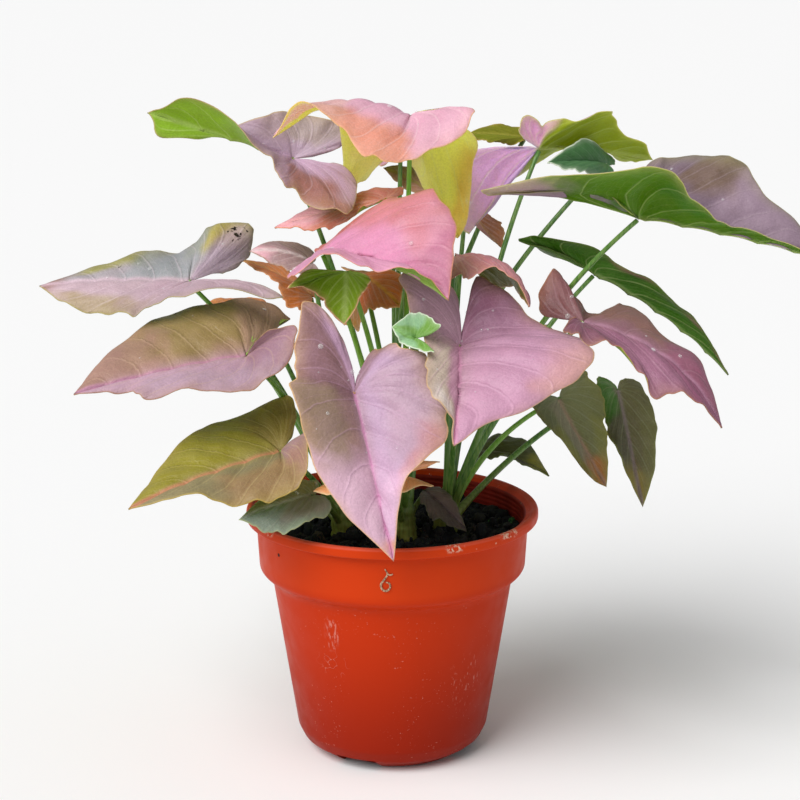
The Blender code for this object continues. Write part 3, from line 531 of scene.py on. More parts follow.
def pot_material():
    """Injection-moulded polypropylene, orange-red and slightly worn.

    The moulded skin gives a broad soft shine. Dried splashes and scuffs show as pale specks and short
    streaks, the tone is darker towards the bottom and lighter from the band up, the lip's top edge is
    paler all round and chipped, the inner wall above the soil is darkened with painted shade, and one
    crumb sticks to the band.
    """
    made, shader, add = new_material("moulded_polypropylene_orange_red", Specular_IOR_Level=0.09)
    height = add("SeparateXYZ", place_mm(add)).node.outputs[2]
    flat = add("VectorMath", place_mm(add), (1, 1, 0), operation="MULTIPLY")
    radius = add("VectorMath", flat, operation="LENGTH")
    # The inside of the mouth above the soil is darkened to maroon: painted shade on the inner wall.
    inside = add("MULTIPLY", add("MapRange", radius, MOUTH_RADIUS + 0.7, MOUTH_RADIUS + 0.3),
                 add("MapRange", height, SOIL_LEVEL - 3, SOIL_LEVEL - 1))

    speck = add("MapRange", noise(add, 0.8, 3.0, rough=0.6), 0.66, 0.71)
    spread = add("MapRange", noise(add, 0.045, 1.0), 0.46, 0.62, 0.0, 0.8)
    below_band = add("MapRange", height, 100, 90)
    marks = add("MULTIPLY", speck, add("MULTIPLY", spread, below_band))
    streaks = noise(add, 0.9, 3.0, (1, 1, 0.22), 0.6)
    line = add("ABSOLUTE", add("SUBTRACT", noise(add, 0.16, 1.0), 0.5))
    for centre, size, scuff in (
        ((-30, -54, 78), (5, 12, 13), add("MapRange", streaks, 0.52, 0.6)),
        ((38, -42, 49), (12, 16, 22), add("MapRange", streaks, 0.6, 0.68)),
        ((-30, -49, 61), (12, 14, 9), add("MapRange", line, 0.008, 0.0)),
    ):
        marks = add("MAXIMUM", marks, add("MULTIPLY", near(add, centre, size), scuff))

    flake = add("MapRange", noise(add, 0.5, 3.0, rough=0.7), 0.5, 0.56)
    chips = add("MapRange", noise(add, 0.35, 3.0), 0.7, 0.76)
    for centre, size in (
        ((31, -70, 129), (6, 8, 4.5)), ((59, -48, 129), (9, 9, 3.5)), ((-61, -43, 129), (5, 6, 3.5)),
    ):
        chips = add("MAXIMUM", chips, add("MULTIPLY", near(add, centre, size), flake))
    chips = add("MULTIPLY", chips, add("MapRange", height, 125.5, 127.5))

    tone = layered(
        # Darker towards the bottom, from 901E05 at the foot up to C03207, and lighter from the band up.
        add, "901E05",
        (add("MapRange", height, 0, 95), 1, "C03207"),
        (add("MapRange", height, 98, 104), 1, "CA3A0A"),
        # painted shade on the inner wall above the soil
        (inside, 0.75, "7A2426"),
        (marks, 0.38, "EAB0A0"),
        # The lip's rounded top edge is paler all round.
        (add("MapRange", height, 128.4, 129.2), 0.45, "D8604C"),
        (chips, 1, "E0B8A0"),
        (add("MapRange", near(add, (-57, -41.3, 116), (1.3, 1.3, 1.3)), 0.2, 0.5), 1, "30100A"),
    )
    feed(shader, {
        "Base Color": tone,
        "Roughness": add("MapRange", noise(add, 0.1, 4.0), 0.3, 0.7, 0.36, 0.52),
        **relief(add, (noise(add, 0.06), 0.3), (add("ADD", marks, chips), 0.08)),
    })
    return made


# Meshes


def put(name, data):
    """A new object in the scene."""
    made = bpy.data.objects.new(name, data)
    bpy.context.scene.collection.objects.link(made)
    return made


def unit(vectors):
    """Each vector divided by its length."""
    return vectors / np.linalg.norm(vectors, axis=-1, keepdims=True)


def eased(share):
    """share from 0 to 1 with a soft start and end."""
    return share * share * (3 - 2 * share)


def bell(distance):
    """A bell curve: 1 at no distance, 0.37 at a distance of 1."""
    return np.exp(-(distance**2))


def smooth_noise(points, size, seed):
    """Value noise from -1 to 1 at points: random numbers on a lattice of that size, blended smoothly."""
    cell = np.floor(points / size).astype(np.int64)
    share = eased(points / size - cell)
    total = np.zeros(len(points))
    for corner in range(8):
        step = np.array([corner & 1, corner >> 1 & 1, corner >> 2 & 1])
        key = (cell + step) @ np.array([73856093, 19349663, 83492791]) + seed * 2654435761
        key = (key ^ (key >> 13)) * 1274126177 & 0x7FFFFFFF
        key = (key ^ (key >> 16)) * 1103515245 & 0x7FFFFFFF
        value = (key % 65536) / 32767.5 - 1
        total += value * np.prod(np.where(step, share, 1 - share), axis=1)
    return total


def met_points(points, weld):
    """The first of each set of points that meet, and for each point the number of its set."""
    _, first, whole = np.unique(
        np.round(points / weld).astype(np.int64), axis=0, return_index=True, return_inverse=True
    )
    return first, whole.reshape(-1)


def build(name, points, corners, materials, slots=None, uvs=None, colours=None, weld=WELD):
    """A smooth object of quads. Points that meet are made one.

    slots gives each quad's material. uvs and colours give a value for each of points, and are kept
    apart where points are made one. Each quad is cut in two, and halves that shrink to a line are left out.
    """
    first, whole = met_points(points, weld)
    corners = np.concatenate([corners[:, [0, 1, 2]], corners[:, [0, 2, 3]]])
    met = whole[corners]
    keep = (met[:, 0] != met[:, 1]) & (met[:, 1] != met[:, 2]) & (met[:, 0] != met[:, 2])
    mesh = bpy.data.meshes.new(name)
    mesh.from_pydata((points[first] * MM).tolist(), [], met[keep].tolist())
    flat = corners[keep].reshape(-1)
    for layer, values in (uvs or {}).items():
        mesh.uv_layers.new(name=layer).data.foreach_set("uv", values[flat].reshape(-1).astype(np.float32))
    for layer, values in (colours or {}).items():
        rgba = np.concatenate([values[flat], np.ones((len(flat), 1))], axis=1)
        made = mesh.attributes.new(layer, "FLOAT_COLOR", "CORNER")
        made.data.foreach_set("color", rgba.reshape(-1).astype(np.float32))
    for finish in materials:
        mesh.materials.append(finish)
    if slots is not None:
        mesh.polygons.foreach_set("material_index", np.tile(slots, 2)[keep].astype(np.int32))
    mesh.shade_smooth()
    mesh.update()
    return put(name, mesh)


def grid_corners(rows, columns, closed=False):
    """Quads between the points of a grid, counted row by row. closed joins the last column to the first."""
    number = np.arange(rows * columns).reshape(rows, columns)
    if closed:
        number = np.concatenate([number, number[:, :1]], axis=1)
    corners = number[:-1, :-1], number[:-1, 1:], number[1:, 1:], number[1:, :-1]
    return np.stack(corners, axis=-1).reshape(-1, 4)


def gather(parts):
    """Grids of points, each closed across its columns, as one list of points and quads."""
    starts = np.cumsum([0] + [part.shape[0] * part.shape[1] for part in parts])
    corners = [grid_corners(*part.shape[:2], closed=True) + start for part, start in zip(parts, starts)]
    return np.concatenate([part.reshape(-1, 3) for part in parts]), np.concatenate(corners)


def turned(radii, heights, steps):
    """A profile turned about the z axis: a ring of points for each radius and height."""
    turn = np.linspace(0, TURN, steps, endpoint=False)
    radii, heights = radii[:, None], heights[:, None]
    return np.stack([radii * np.cos(turn), radii * np.sin(turn), heights + 0 * turn], axis=-1)


def tube(path, radii, sides=14, squash=1):
    """Rings round a path, each square to it, closed by a point at both ends.

    squash is how much each ring is narrowed the way that the path bends.
    """
    along = unit(np.gradient(path, axis=0))
    across = unit(np.cross(along, (0.31, 0.95, 0.05)))
    other = np.cross(along, across) * (np.ones(len(path)) * squash)[:, None]
    turn = np.linspace(0, TURN, sides, endpoint=False)[:, None]
    ring = across[:, None] * np.cos(turn) + other[:, None] * np.sin(turn)
    rings = np.pad(ring * radii[:, None, None], ((1, 1), (0, 0), (0, 0)))
    return rings + np.pad(path, ((1, 1), (0, 0)), "edge")[:, None]


def smooth_line(points, knots):
    """A Catmull-Rom curve through the points, read at knots counted from the first point."""
    held = np.array([2 * points[0] - points[1], *points, 2 * points[-1] - points[-2]])
    span = np.minimum(knots.astype(int), len(points) - 2)
    t = (knots - span)[:, None]
    a, b, c, d = (held[span + n] for n in range(4))
    bend = (c - a) * t + (2 * a - 5 * b + 4 * c - d) * t**2 + (3 * b - a - 3 * c + d) * t**3
    return b + bend / 2


def parabola(start, middle, end, t):
    """A curve from start to end that leaves start and reaches end along lines through middle."""
    return start * (1 - t) ** 2 + 2 * middle * t * (1 - t) + end * t**2


def belongs(piece, node):
    """piece rides with the plant and stands for the node, which is hidden."""
    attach(piece, "root")
    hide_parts(node)


# Blades


def half_normal(leaf, half, side):
    """The way that the upper face of one half looks. side is 1 on the left and -1 on the right."""
    joint, tip, wide = np.array([leaf.joint, leaf.tip, half[0]], float)
    return side * unit(np.cross(tip - joint, wide - joint))


def blade_up(leaf):
    """The way halfway between the upper faces of the two halves."""
    return unit(half_normal(leaf, leaf.left, 1) + half_normal(leaf, leaf.right, -1))


def margin_points(leaf, half, rib_middle):
    """Seven points round half the edge: tip, fore, widest, back, end of the lobe, inner, joint."""
    wide, lobe, fore, back, inner = Half(*half)
    joint, tip, wide, lobe = np.array([leaf.joint, leaf.tip, wide, lobe], float)
    if np.isscalar(fore):
        fore = (tip + wide) / 2 + fore * (wide - rib_middle)
    if np.isscalar(back):
        middle = (wide + lobe) / 2
        back = middle + back * (middle - joint)
    if inner is None:
        inner = (joint + lobe) / 2 - 0.12 * (wide - joint)
    return np.array([tip, fore, wide, back, lobe, inner, joint], float)


def uneven(knots, seed):
    """A ragged line from -1 to 1 along the edge: four sine waves of unlike length, shifted by the seed."""
    shift = seed * 2.4 + np.array([0.0, 1.7, 4.1, 5.2])
    waves = np.array([4.3, 7.1, 11.6, 19.0])
    return np.sin(TURN * knots[:, None] * waves / KNOTS + shift) @ np.array([0.4, 0.3, 0.2, 0.1])


def edge_bumps(name, side, knots):
    """How far the edge stands out of its smooth line and above it: a sum of bell curves."""
    total = np.zeros((2, len(knots)))
    for knot, *rise in EDGES.get(name, {}).get(side, ()):
        total[: len(rise)] += bell((knots - knot) / BUMP_KNOTS) * np.array(rise)[:, None]
    return total


def blade_grid(name, leaf, number):
    """Points of the blade's middle surface, and at each the knot, the share across, the side and the width.

    The midrib is a parabola from the tip to the joint. A row runs from it to the edge, and the rows
    past the joint fan out from the joint into the lobes. Across a row the blade is cambered, and a
    wave grows towards the edge. The edge itself is uneven, in its plane and across it.
    """
    joint, tip = np.array([leaf.joint, leaf.tip], float)
    crown = (joint + tip) / 2 + leaf.arch * blade_up(leaf)
    knots = np.linspace(0, KNOTS, ROWS + 1)
    rib = parabola(tip, crown, joint, np.minimum(knots / JOINT_KNOT, 1)[:, None])
    rib_middle = tip / 4 + crown / 2 + joint / 4
    across = np.linspace(0, 1, COLUMNS + 1)[:, None]
    length = leaf.wave * np.linalg.norm(tip - joint) * np.sin(np.pi * knots / KNOTS)
    grid = np.zeros((ROWS + 1, 2 * COLUMNS + 1, 3))
    widths = np.zeros(grid.shape[:2])
    for side, half in ((1, leaf.left), (-1, leaf.right)):
        span = smooth_line(margin_points(leaf, half, rib_middle), knots) - rib
        wide = np.maximum(np.linalg.norm(span, axis=1), 0.5)
        out, above = edge_bumps(name, side, knots) * np.clip(wide / 8, 0, 1)
        ragged = 0.07 * np.sin(np.pi * knots / KNOTS) * uneven(knots, number + side)
        span = span * (1 + ragged + out / wide)[:, None]
        width = np.linalg.norm(span, axis=1)
        turn = TURN * WAVES * knots / KNOTS + number * math.radians(137.5) - WAVE_SHIFT * (side < 0)
        wave = WAVE_SHARE * length * np.sin(turn)
        ruffle = EDGE_SHARE * length * uneven(knots, number - 3 * side) + above
        camber, wave, ruffle = (v[:, None, None] for v in (CAMBER * width, wave, ruffle))
        lift = camber * 2 * across * (1 - across) + wave * across**2 + ruffle * across**3
        grid[:, COLUMNS::side] = rib[:, None] + span[:, None] * across + half_normal(leaf, half, side) * lift
        widths[:, COLUMNS::side] = width[:, None]
    knot, column = np.meshgrid(knots, np.arange(-COLUMNS, COLUMNS + 1), indexing="ij")
    return grid, knot, np.abs(column / COLUMNS), np.sign(column), widths


def grid_normals(grid):
    """The normal at each point of a grid, from the areas of the faces round it, also where points meet."""
    points = grid.reshape(-1, 3)
    corners = grid_corners(*grid.shape[:2])
    first, whole = met_points(points, WELD)
    total = np.zeros((len(first), 3))
    for picked in ([0, 1, 2], [0, 2, 3]):
        a, b, c = (points[corners[:, n]] for n in picked)
        for n in picked:
            np.add.at(total, whole[corners[:, n]], np.cross(b - a, c - a))
    total /= np.maximum(np.linalg.norm(total, axis=1, keepdims=True), 1e-9)
    return total[whole].reshape(grid.shape)


def spacing(grid, count):
    """The distance between lines of whole count on a grid: one over the steepness of count."""
    along, across = np.gradient(grid, axis=0), np.gradient(grid, axis=1)
    count_along, count_across = np.gradient(count)
    e, f, g = ((a * b).sum(axis=2) for a, b in ((along, along), (along, across), (across, across)))
    area = np.maximum(e * g - f * f, 1e-6)
    steep = (g * count_along**2 - 2 * f * count_along * count_across + e * count_across**2) / area
    return np.clip(1 / np.sqrt(np.maximum(steep, 1e-6)), 0.5, 30)


def window(value, low, high, soft):
    """1 between low and high, falling smoothly to 0 over soft outside them."""
    return eased(np.clip((value - low) / soft + 1, 0, 1)) * eased(np.clip((high - value) / soft + 1, 0, 1))


def wash_mask(knot, share, side_of, side, first, last, amount, inner=0, outer=1):
    """How much of a wash lies at each point: all of it inside its ranges, and less over a soft border."""
    half = {"b": 1, "l": side_of > 0, "r": side_of < 0}[side.lower()]
    return window(knot, first, last, 0.5) * window(share, inner, outer, 0.25) * half * amount


def blade_tints(look, points, knot, share, side_of, seed, under):
    """The colour of each point of one face: its half's colour, then each wash with a ragged border."""
    own = (0.5 + 0.5 * side_of * np.clip(share * 6, 0, 1))[:, None]
    tint = look.under + 0 * own if under else look.left * own + look.right * (1 - own)
    ragged = 0.5 * smooth_noise(points, 14, seed) + 0.3 * smooth_noise(points, 5, seed + 7)
    for colour, side, *place in look.washes:
        if side.isupper() == under:
            mask = wash_mask(knot + ragged * 0.5, share + ragged * 0.2, side_of, side, *place)
            tint = tint + (linear(colour) - tint) * mask[:, None]
    shade = 0.10 * smooth_noise(points, 22, seed + 3) + 0.06 * smooth_noise(points, 8, seed + 5)
    band = (np.clip(share * 4 - 3, 0, 1) * (0.26 + 0.35 * ragged / 0.8))[:, None]
    return (tint + (look.rim * 0.85 - tint) * band) * (1 + shade)[:, None]


def make_blade(number, name, leaf, upper, under):
    """A closed blade: both faces of the sheet, thin at its round edge, with puffed fields between veins."""
    grid, knot, share, side_of, width = blade_grid(name, leaf, number)
    normal = grid_normals(grid)
    count = knot / VEIN_KNOTS + VEIN_SWEEP * share**1.3
    pitch = spacing(grid, count)
    puff = np.clip(PUFF_SHARE * pitch, 0, PUFF_MOST) * np.abs(np.sin(np.pi * count)) ** 0.8 * (1 - share**4)
    flat = grid.reshape(-1, 3)
    lumps = smooth_noise(flat, 15, number + 40) + 0.45 * smooth_noise(flat, 6, number + 80)
    from_rib = share * width
    puff = puff + LUMPS * lumps.reshape(share.shape) * np.clip(from_rib / 12, 0, 1)
    middle = grid + normal * (puff - RIB_DIP * bell(from_rib / 1.6))[..., None]
    half_thick = THICK / 2 * (1 - EDGE_THIN * share**3)
    by_joint = np.clip(knot / JOINT_KNOT, 0.15, 1) * (knot <= JOINT_KNOT + 0.4)
    rib_swell = RIB_SWELL * bell(from_rib / 1.1) * by_joint
    top = middle + normal * half_thick[..., None]
    bottom = middle - normal * (half_thick + rib_swell)[..., None]
    outward = grid[:, [0, -1]] - grid[:, [1, -2]]
    outward /= np.maximum(np.linalg.norm(outward, axis=2, keepdims=True), 0.2)

    def ring(over, beneath, ends):
        """Rows that run round the blade: one end, the upper face, the other end, the underside."""
        rows = np.concatenate([ends[:, :1], over, ends[:, 1:], beneath[:, ::-1]], axis=1)
        return rows.reshape(-1, *rows.shape[2:])

    points = ring(top, bottom, middle[:, [0, -1]] + outward * EDGE_OUT)
    knots, shares, sides, widths, counts, pitches = (
        ring(v, v, v[:, [0, -1]]) for v in (knot, share, side_of, width, count, pitch)
    )
    wide = 2 * COLUMNS + 1
    columns = 2 * wide + 2
    is_under = np.tile(np.arange(columns) >= wide + 2, ROWS + 1)[:, None]
    palette, *washes = LOOKS[name]
    look = Look(*map(linear, palette.split()), washes)
    over, beneath = (blade_tints(look, points, knots, shares, sides, number, face) for face in (False, True))
    tint = np.where(is_under, beneath, over)
    by_rib = np.clip(1.6 - shares * widths / 1.5, 0, 1)[:, None] * (knots < JOINT_KNOT + 0.2)[:, None]
    vein = tint * 0.6 + look.vein * 0.4
    ridge = tint * 0.64 + linear("DDE6A0") * 0.36
    line = np.where(is_under, ridge, vein + (look.rib - vein) * by_rib)
    blight = np.zeros(len(points))
    for side, row, column, radius in BLIGHT.get(name, ()):
        spot = top[int(row / KNOTS * ROWS), COLUMNS + side * round(column * COLUMNS)]
        blight = np.maximum(blight, bell(np.linalg.norm(points - spot, axis=1) / radius))
    past_rib = 20 * (knots > JOINT_KNOT + 0.05)
    uvs = {
        "veins": np.stack([counts, pitches], axis=1),
        "edge": np.stack([(1 - shares) * widths, shares * widths + past_rib], axis=1),
    }
    colours = {"tint": tint, "line": line, "rim": look.rim + 0 * tint, "blight": blight[:, None].repeat(3, 1)}
    corners = grid_corners(ROWS + 1, columns, closed=True)[:, ::-1]
    slots = np.tile(np.arange(columns) > wide, ROWS)
    belongs(build("leaf_" + name, points, corners, [upper, under], slots, uvs, colours), "blade_" + name)
    return top, normal


def make_drops(surfaces, finish):
    """Rain drops on the upper faces: balls flattened towards the leaf and sunk in it by a third."""
    rng = np.random.default_rng(12)
    lat = np.linspace(-np.pi / 2, np.pi / 2, 9)
    x, y, z = np.moveaxis(turned(np.cos(lat), np.sin(lat), 14), -1, 0)[..., None]
    parts = []
    for name, many in DROPS.items():
        top, normal = surfaces[name]
        row = rng.integers(14, 84, many)
        column = rng.integers(3, 2 * COLUMNS - 3, many)
        radius = rng.gamma(2.2, 0.28, many).clip(0.35, 1.35)[:, None, None, None]
        up = normal[row, column][:, None, None]
        across = unit(np.cross(up, (0.3, 0.9, 0.1)))
        ball = x * across + y * np.cross(up, across) + z * up * 0.5
        parts += list(top[row, column][:, None, None] + radius * (ball + 0.15 * up))
    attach(build("rain_drops", *gather(parts), [finish], weld=0.001), "root")


def on_band(places):
    """Points given as x and z, laid on the outside of the pot's band at the front, 0.3 mm off it."""
    x, z = np.array(places, float).T
    share = (z - BAND_FOOT) / (LIP_FOOT - BAND_FOOT)
    radius = BAND_FOOT_RADIUS + (BAND_TOP_RADIUS - BAND_FOOT_RADIUS) * share + 0.3
    return np.stack([x, -np.sqrt(radius**2 - x**2), z], axis=1)


def make_root(finish):
    """Thin tubes along smooth curves through the root's points, tapered to both ends."""
    parts = []
    for places, thick in ((ROOT_CURL, 0.55), (ROOT_BRANCH, 0.4)):
        knots = np.linspace(0, len(places) - 1.001, 12 * len(places))
        taper = 0.45 + 0.55 * np.sin(np.pi * knots / knots[-1]) ** 0.5
        parts.append(tube(smooth_line(on_band(places), knots), thick * taper, 8))
    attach(build("dry_root_curl", *gather(parts), [finish], weld=0.001), "root")


# Stems


def petiole(leaf):
    """A tube from inside the short stem up to the underside of the blade at its joint.

    Its path is a parabola. It is thin at the top, and broad at the foot where it clasps the stem.
    """
    stem = STEMS[leaf.stem]
    foot = np.array([stem.x, stem.y, SOIL_LEVEL + 2.0])
    up, joint = blade_up(leaf), np.array(leaf.joint, float)
    knee = foot + (joint - foot) * PETIOLE_KNEE + leaf.bend
    end = joint - up * 1.5 * np.sign((joint - knee) @ up)
    t = np.linspace(0, 1, PETIOLE_RINGS)
    radii = PETIOLE_RADIUS + (PETIOLE_TIP - PETIOLE_RADIUS) * t
    radii = radii + PETIOLE_FOOT_SWELL * bell(t / 0.1) + 0.1 * bell((1 - t) / 0.035)
    return tube(parabola(foot, knee, end, t[:, None]), radii, PETIOLE_SIDES, 0.82 + 0.18 * t)


def make_stem(name, finish):
    """The short stem, a ringed tube that closes at its top, with its petioles."""
    stem = STEMS[name]
    height = np.linspace(CROWN_FOOT, stem.top + 4, CROWN_RINGS)
    share = (height - CROWN_FOOT) / (stem.top + 4 - CROWN_FOOT)
    path = np.stack([np.full(CROWN_RINGS, stem.x), np.full(CROWN_RINGS, stem.y), height], axis=1)
    radii = stem.radius + (stem.top_radius - stem.radius) * share - 4.5 * np.clip(share - 0.8, 0, 1) * 4
    parts = [tube(path, np.maximum(radii + 0.3 * np.sin(height * 1.3), 0.6), CROWN_SIDES)]
    fresh = [0.25]
    for leaf_name, leaf in LEAVES.items():
        if leaf.stem == name:
            parts.append(petiole(leaf))
            fresh.append(FRESH_STALKS.get(leaf_name, PLAIN_STALK))
    points, corners = gather(parts)
    fresh = np.repeat(fresh, [part.shape[0] * part.shape[1] for part in parts])[:, None]
    low = np.clip(1 - (points[:, 2:] - SOIL_LEVEL) / 34, 0, 1)
    deep = linear("1E4E30")
    tint = deep + (linear("6CA81E") - deep) * fresh
    tint = tint + (linear("8A7A2E") - tint) * 0.75 * low**1.5
    stalks = build("stalks_" + name, points, corners, [finish], colours={"tint": tint}, weld=0.002)
    belongs(stalks, "stem_" + name)


# Pot


def rounded(profile, radius, steps=5):
    """The profile with each inner corner cut back by up to radius and turned by a parabola."""
    points = np.array(profile, float)
    corner = points[1:-1]
    cut = []
    for way in (points[:-2] - corner, points[2:] - corner):
        reach = np.minimum(radius, np.linalg.norm(way, axis=1) * 0.45)[:, None]
        cut.append((corner + unit(way) * reach)[:, None])
    turned_in = parabola(cut[0], corner[:, None], cut[1], np.linspace(0, 1, steps)[None, :, None])
    return np.concatenate([points[:1], turned_in.reshape(-1, 2), points[-1:]])


def split_long(profile, longest):
    """The profile with points added so that no step is longer than longest."""
    out = [profile[:1]]
    for a, b in zip(profile, profile[1:]):
        pieces = max(1, math.ceil(np.linalg.norm(b - a) / longest))
        out.append(a + (b - a) * (np.arange(1, pieces + 1) / pieces)[:, None])
    return np.concatenate(out)


def pot_profile():
    """Radius and height from the middle of the foot, up the outside, over the lip and down the inside."""
    outside = [
        (0, 0), (FOOT_RADIUS, 0), (FOOT_RADIUS + 2.0, 1.2),
        (WALL_FOOT_RADIUS - 3.0, WALL_FOOT - 6.0), (WALL_FOOT_RADIUS, WALL_FOOT),
        (WALL_TOP_RADIUS, BAND_FOOT - 5.5), (WALL_TOP_RADIUS + 1.4, BAND_FOOT - 2.4),
        (BAND_FOOT_RADIUS - 1.6, BAND_FOOT), (BAND_FOOT_RADIUS, BAND_FOOT + 2.2),
        (BAND_TOP_RADIUS, LIP_FOOT - 1.2), (BAND_TOP_RADIUS + 0.6, LIP_FOOT),
        (LIP_RADIUS - 0.8, LIP_FOOT), (LIP_RADIUS, LIP_FOOT + 0.6), (LIP_RADIUS, POT_HEIGHT - 1.2),
        (LIP_RADIUS - 0.9, POT_HEIGHT), (LIP_MOUTH + 0.6, POT_HEIGHT),
        (LIP_MOUTH, POT_HEIGHT - 1.0),
    ]
    ribs = []
    for rib in range(4):
        height = LIP_FOOT + RIB_PITCH - rib * RIB_PITCH
        ribs += [(MOUTH_RADIUS, height), (MOUTH_RADIUS - 0.45, height - RIB_PITCH / 2)]
    return outside + ribs + [
        (MOUTH_RADIUS, LIP_FOOT - 3 * RIB_PITCH), (BAND_FOOT_RADIUS - WALL_THICK, BAND_FOOT + 2.6),
        (WALL_TOP_RADIUS - WALL_THICK, BAND_FOOT - 4.5),
        (WALL_FOOT_RADIUS - WALL_THICK, WALL_FOOT + 0.6),
        (WALL_FOOT_RADIUS - 3.0 - WALL_THICK, WALL_FOOT - 5.0), (FOOT_RADIUS, FLOOR_THICK),
        (0, FLOOR_THICK),
    ]


def make_pot(finish):
    """The profile turned about the axis, with notches cut through the bottom edge."""
    profile = split_long(rounded(pot_profile(), 1.3), 4.0)
    rings = turned(*profile.T, POT_STEPS)
    pot = build("nursery_pot", rings.reshape(-1, 3), grid_corners(*rings.shape[:2], closed=True), [finish])
    cutters = bpy.data.collections.new("notch_cutters")
    bpy.context.scene.collection.children.link(cutters)
    for number in range(NOTCHES):
        bpy.ops.mesh.primitive_cube_add(size=1)
        block = bpy.context.object
        angle = math.radians(NOTCH_FIRST + 360 / NOTCHES * number)
        block.scale = (NOTCH_DEEP * MM, NOTCH_WIDTH * MM, 2 * NOTCH_HEIGHT * MM)
        block.location = (NOTCH_RADIUS * MM * math.cos(angle), NOTCH_RADIUS * MM * math.sin(angle), 0)
        block.rotation_euler.z = angle
        block.users_collection[0].objects.unlink(block)
        cutters.objects.link(block)
    cut = pot.modifiers.new("Notches", "BOOLEAN")
    cut.operand_type = "COLLECTION"
    cut.collection = cutters
    bpy.context.view_layer.update()
    pot.data = bpy.data.meshes.new_from_object(pot.evaluated_get(bpy.context.evaluated_depsgraph_get()))
    pot.modifiers.clear()
    for block in list(cutters.objects):
        bpy.data.objects.remove(block, do_unlink=True)
    bpy.data.collections.remove(cutters)
    pot.data.shade_smooth()
    pot.data.set_sharp_from_angle(angle=math.radians(34))
    belongs(pot, "pot")


# Soil


def soil_heights(points):
    """Lumps of the soil's top: waves as in the solid, with finer lumps on them."""
    x, y = points[:, 0], points[:, 1]
    first = np.sin(x * 0.23 + 1.1) * np.cos(y * 0.19 - 0.4)
    second = np.sin(x * 0.41 - y * 0.33 + 2.0)
    third = np.cos(x * 0.11 + y * 0.52 + 0.7)
    flat = points * (1, 1, 0)
    lumps = 1.2 * smooth_noise(flat, 5.0, 11) + 0.7 * smooth_noise(flat, 2.2, 12)
    return 1.6 * (0.5 * first + 0.3 * second + 0.2 * third) + lumps


def soil_body():
    """A disc with lumps that fade at its edge, turned on down the inside of the pot to its floor."""
    edge = MOUTH_RADIUS - SOIL_GAP
    radius = np.linspace(0, edge, 70)
    top = turned(radius, 0 * radius, SOIL_STEPS)
    lift = soil_heights(top.reshape(-1, 3)).reshape(top.shape[:2])
    top[..., 2] = SOIL_LEVEL + lift * np.clip((edge - radius) / 3, 0, 1)[:, None]
    down = np.array([
        (BAND_FOOT_RADIUS - WALL_THICK - SOIL_GAP, BAND_FOOT + 3),
        (WALL_TOP_RADIUS - WALL_THICK - SOIL_GAP, BAND_FOOT - 5),
        (WALL_FOOT_RADIUS - WALL_THICK - 0.6, WALL_FOOT + 0.6),
        (FOOT_RADIUS - 1, FLOOR_THICK + 0.4),
        (0, FLOOR_THICK + 0.4),
    ])
    return np.concatenate([top, turned(*down.T, SOIL_STEPS)])[::-1]


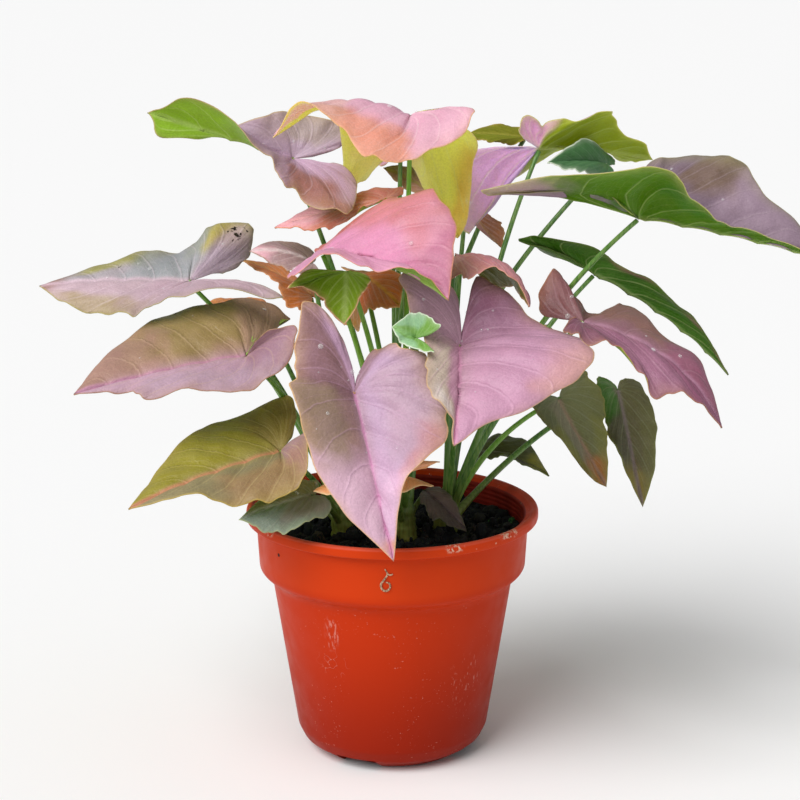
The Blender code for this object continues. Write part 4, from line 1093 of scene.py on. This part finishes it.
def make_soil(finish):
    """The soil with crumbs strewn on it, each a ball squashed and dented by noise."""
    body = soil_body()
    rng = np.random.default_rng(5)
    spread = np.sqrt(rng.uniform(0, 1, CRUMBS)) * (MOUTH_RADIUS - SOIL_GAP - 3)
    angle = rng.uniform(0, TURN, CRUMBS)
    size = rng.gamma(2.0, 0.75, CRUMBS).clip(0.5, 3.8)
    centre = np.stack([spread * np.cos(angle), spread * np.sin(angle), np.zeros(CRUMBS)], axis=1)
    centre[:, 2] = SOIL_LEVEL + soil_heights(centre) + size * 0.35
    lat = np.linspace(-np.pi / 2, np.pi / 2, 7)
    ball = turned(np.cos(lat), np.sin(lat), 9)
    size, middle = size[:, None, None, None], centre[:, None, None]
    crumbs = ball * rng.uniform(0.6, 1.5, (CRUMBS, 1, 1, 3)) * size + middle
    dent = smooth_noise(crumbs.reshape(-1, 3), 1.6, 21).reshape(*crumbs.shape[:3], 1)
    crumbs = crumbs + ball * dent * 0.35 * size
    points, corners = gather([body, *crumbs])
    green = np.linalg.norm(centre[:, :2] - (58, 15), axis=1) < 9
    kind = np.where(green & (rng.uniform(size=CRUMBS) < 0.5), 3, rng.choice(3, CRUMBS, p=(0.6, 0.3, 0.1)))
    kinds = np.array([linear(c) for c in ("1C1F24", "2E2C2A", "42362C", "3E7A3E")])
    tint = kinds[np.concatenate([np.zeros(body.shape[0] * SOIL_STEPS, int), np.repeat(kind, 7 * 9)])]
    belongs(build("peat_soil", points, corners, [finish], colours={"tint": tint}, weld=0.0005), "soil")


# Stage


def studio():
    """A pale floor, a white surround and a wide soft key light from the upper left in front."""
    bpy.ops.mesh.primitive_plane_add(size=80)
    floor = bpy.context.object
    floor.name = "pale_floor"
    paper = new_material("matt_white_backdrop_paper", Base_Color=(0.93, 0.93, 0.93, 1), Roughness=0.9,
                         Specular_IOR_Level=0.1)[0]
    floor.data.materials.append(paper)
    world = bpy.data.worlds.new("white_surround")
    bpy.context.scene.world = world
    world.use_nodes = True
    feed(world.node_tree.nodes["Background"], {"Color": "FFFFFF", "Strength": 0.36})
    lamp = bpy.data.lights.new("wide_soft_key", "SUN")
    lamp.angle = math.radians(48)
    lamp.energy = 2.95
    put("wide_soft_key", lamp).rotation_euler = (math.radians(44), 0, math.radians(-44))


def camera():
    """The photograph's view: 90 mm lens, a metre in front of the pot's axis, looking 13.7 degrees down."""
    lens = bpy.data.cameras.new("camera")
    lens.lens = 90
    lens.sensor_width = 36
    eye = put("camera", lens)
    eye.location = (0.004, -1.0, 0.430)
    eye.rotation_euler = (math.radians(90 - 13.7), 0, 0)
    bpy.context.scene.camera = eye
    bpy.context.scene.view_settings.view_transform = "Standard"


camera()
studio()
upper = leaf_material("living_leaf_upper_soft_wax", False)
under = leaf_material("living_leaf_underside_ridged", True)
young = leaf_material("young_leaf_underside_light_through", True, 1.0)
surfaces = {}
for number, (name, leaf) in enumerate(LEAVES.items()):
    surfaces[name] = make_blade(number, name, leaf, upper, young if name in YOUNG else under)
make_drops(surfaces, water_material())
make_root(root_material())
stalk = stalk_material()
for name in STEMS:
    make_stem(name, stalk)
make_pot(pot_material())
make_soil(soil_material())

bpy.context.view_layer.update()
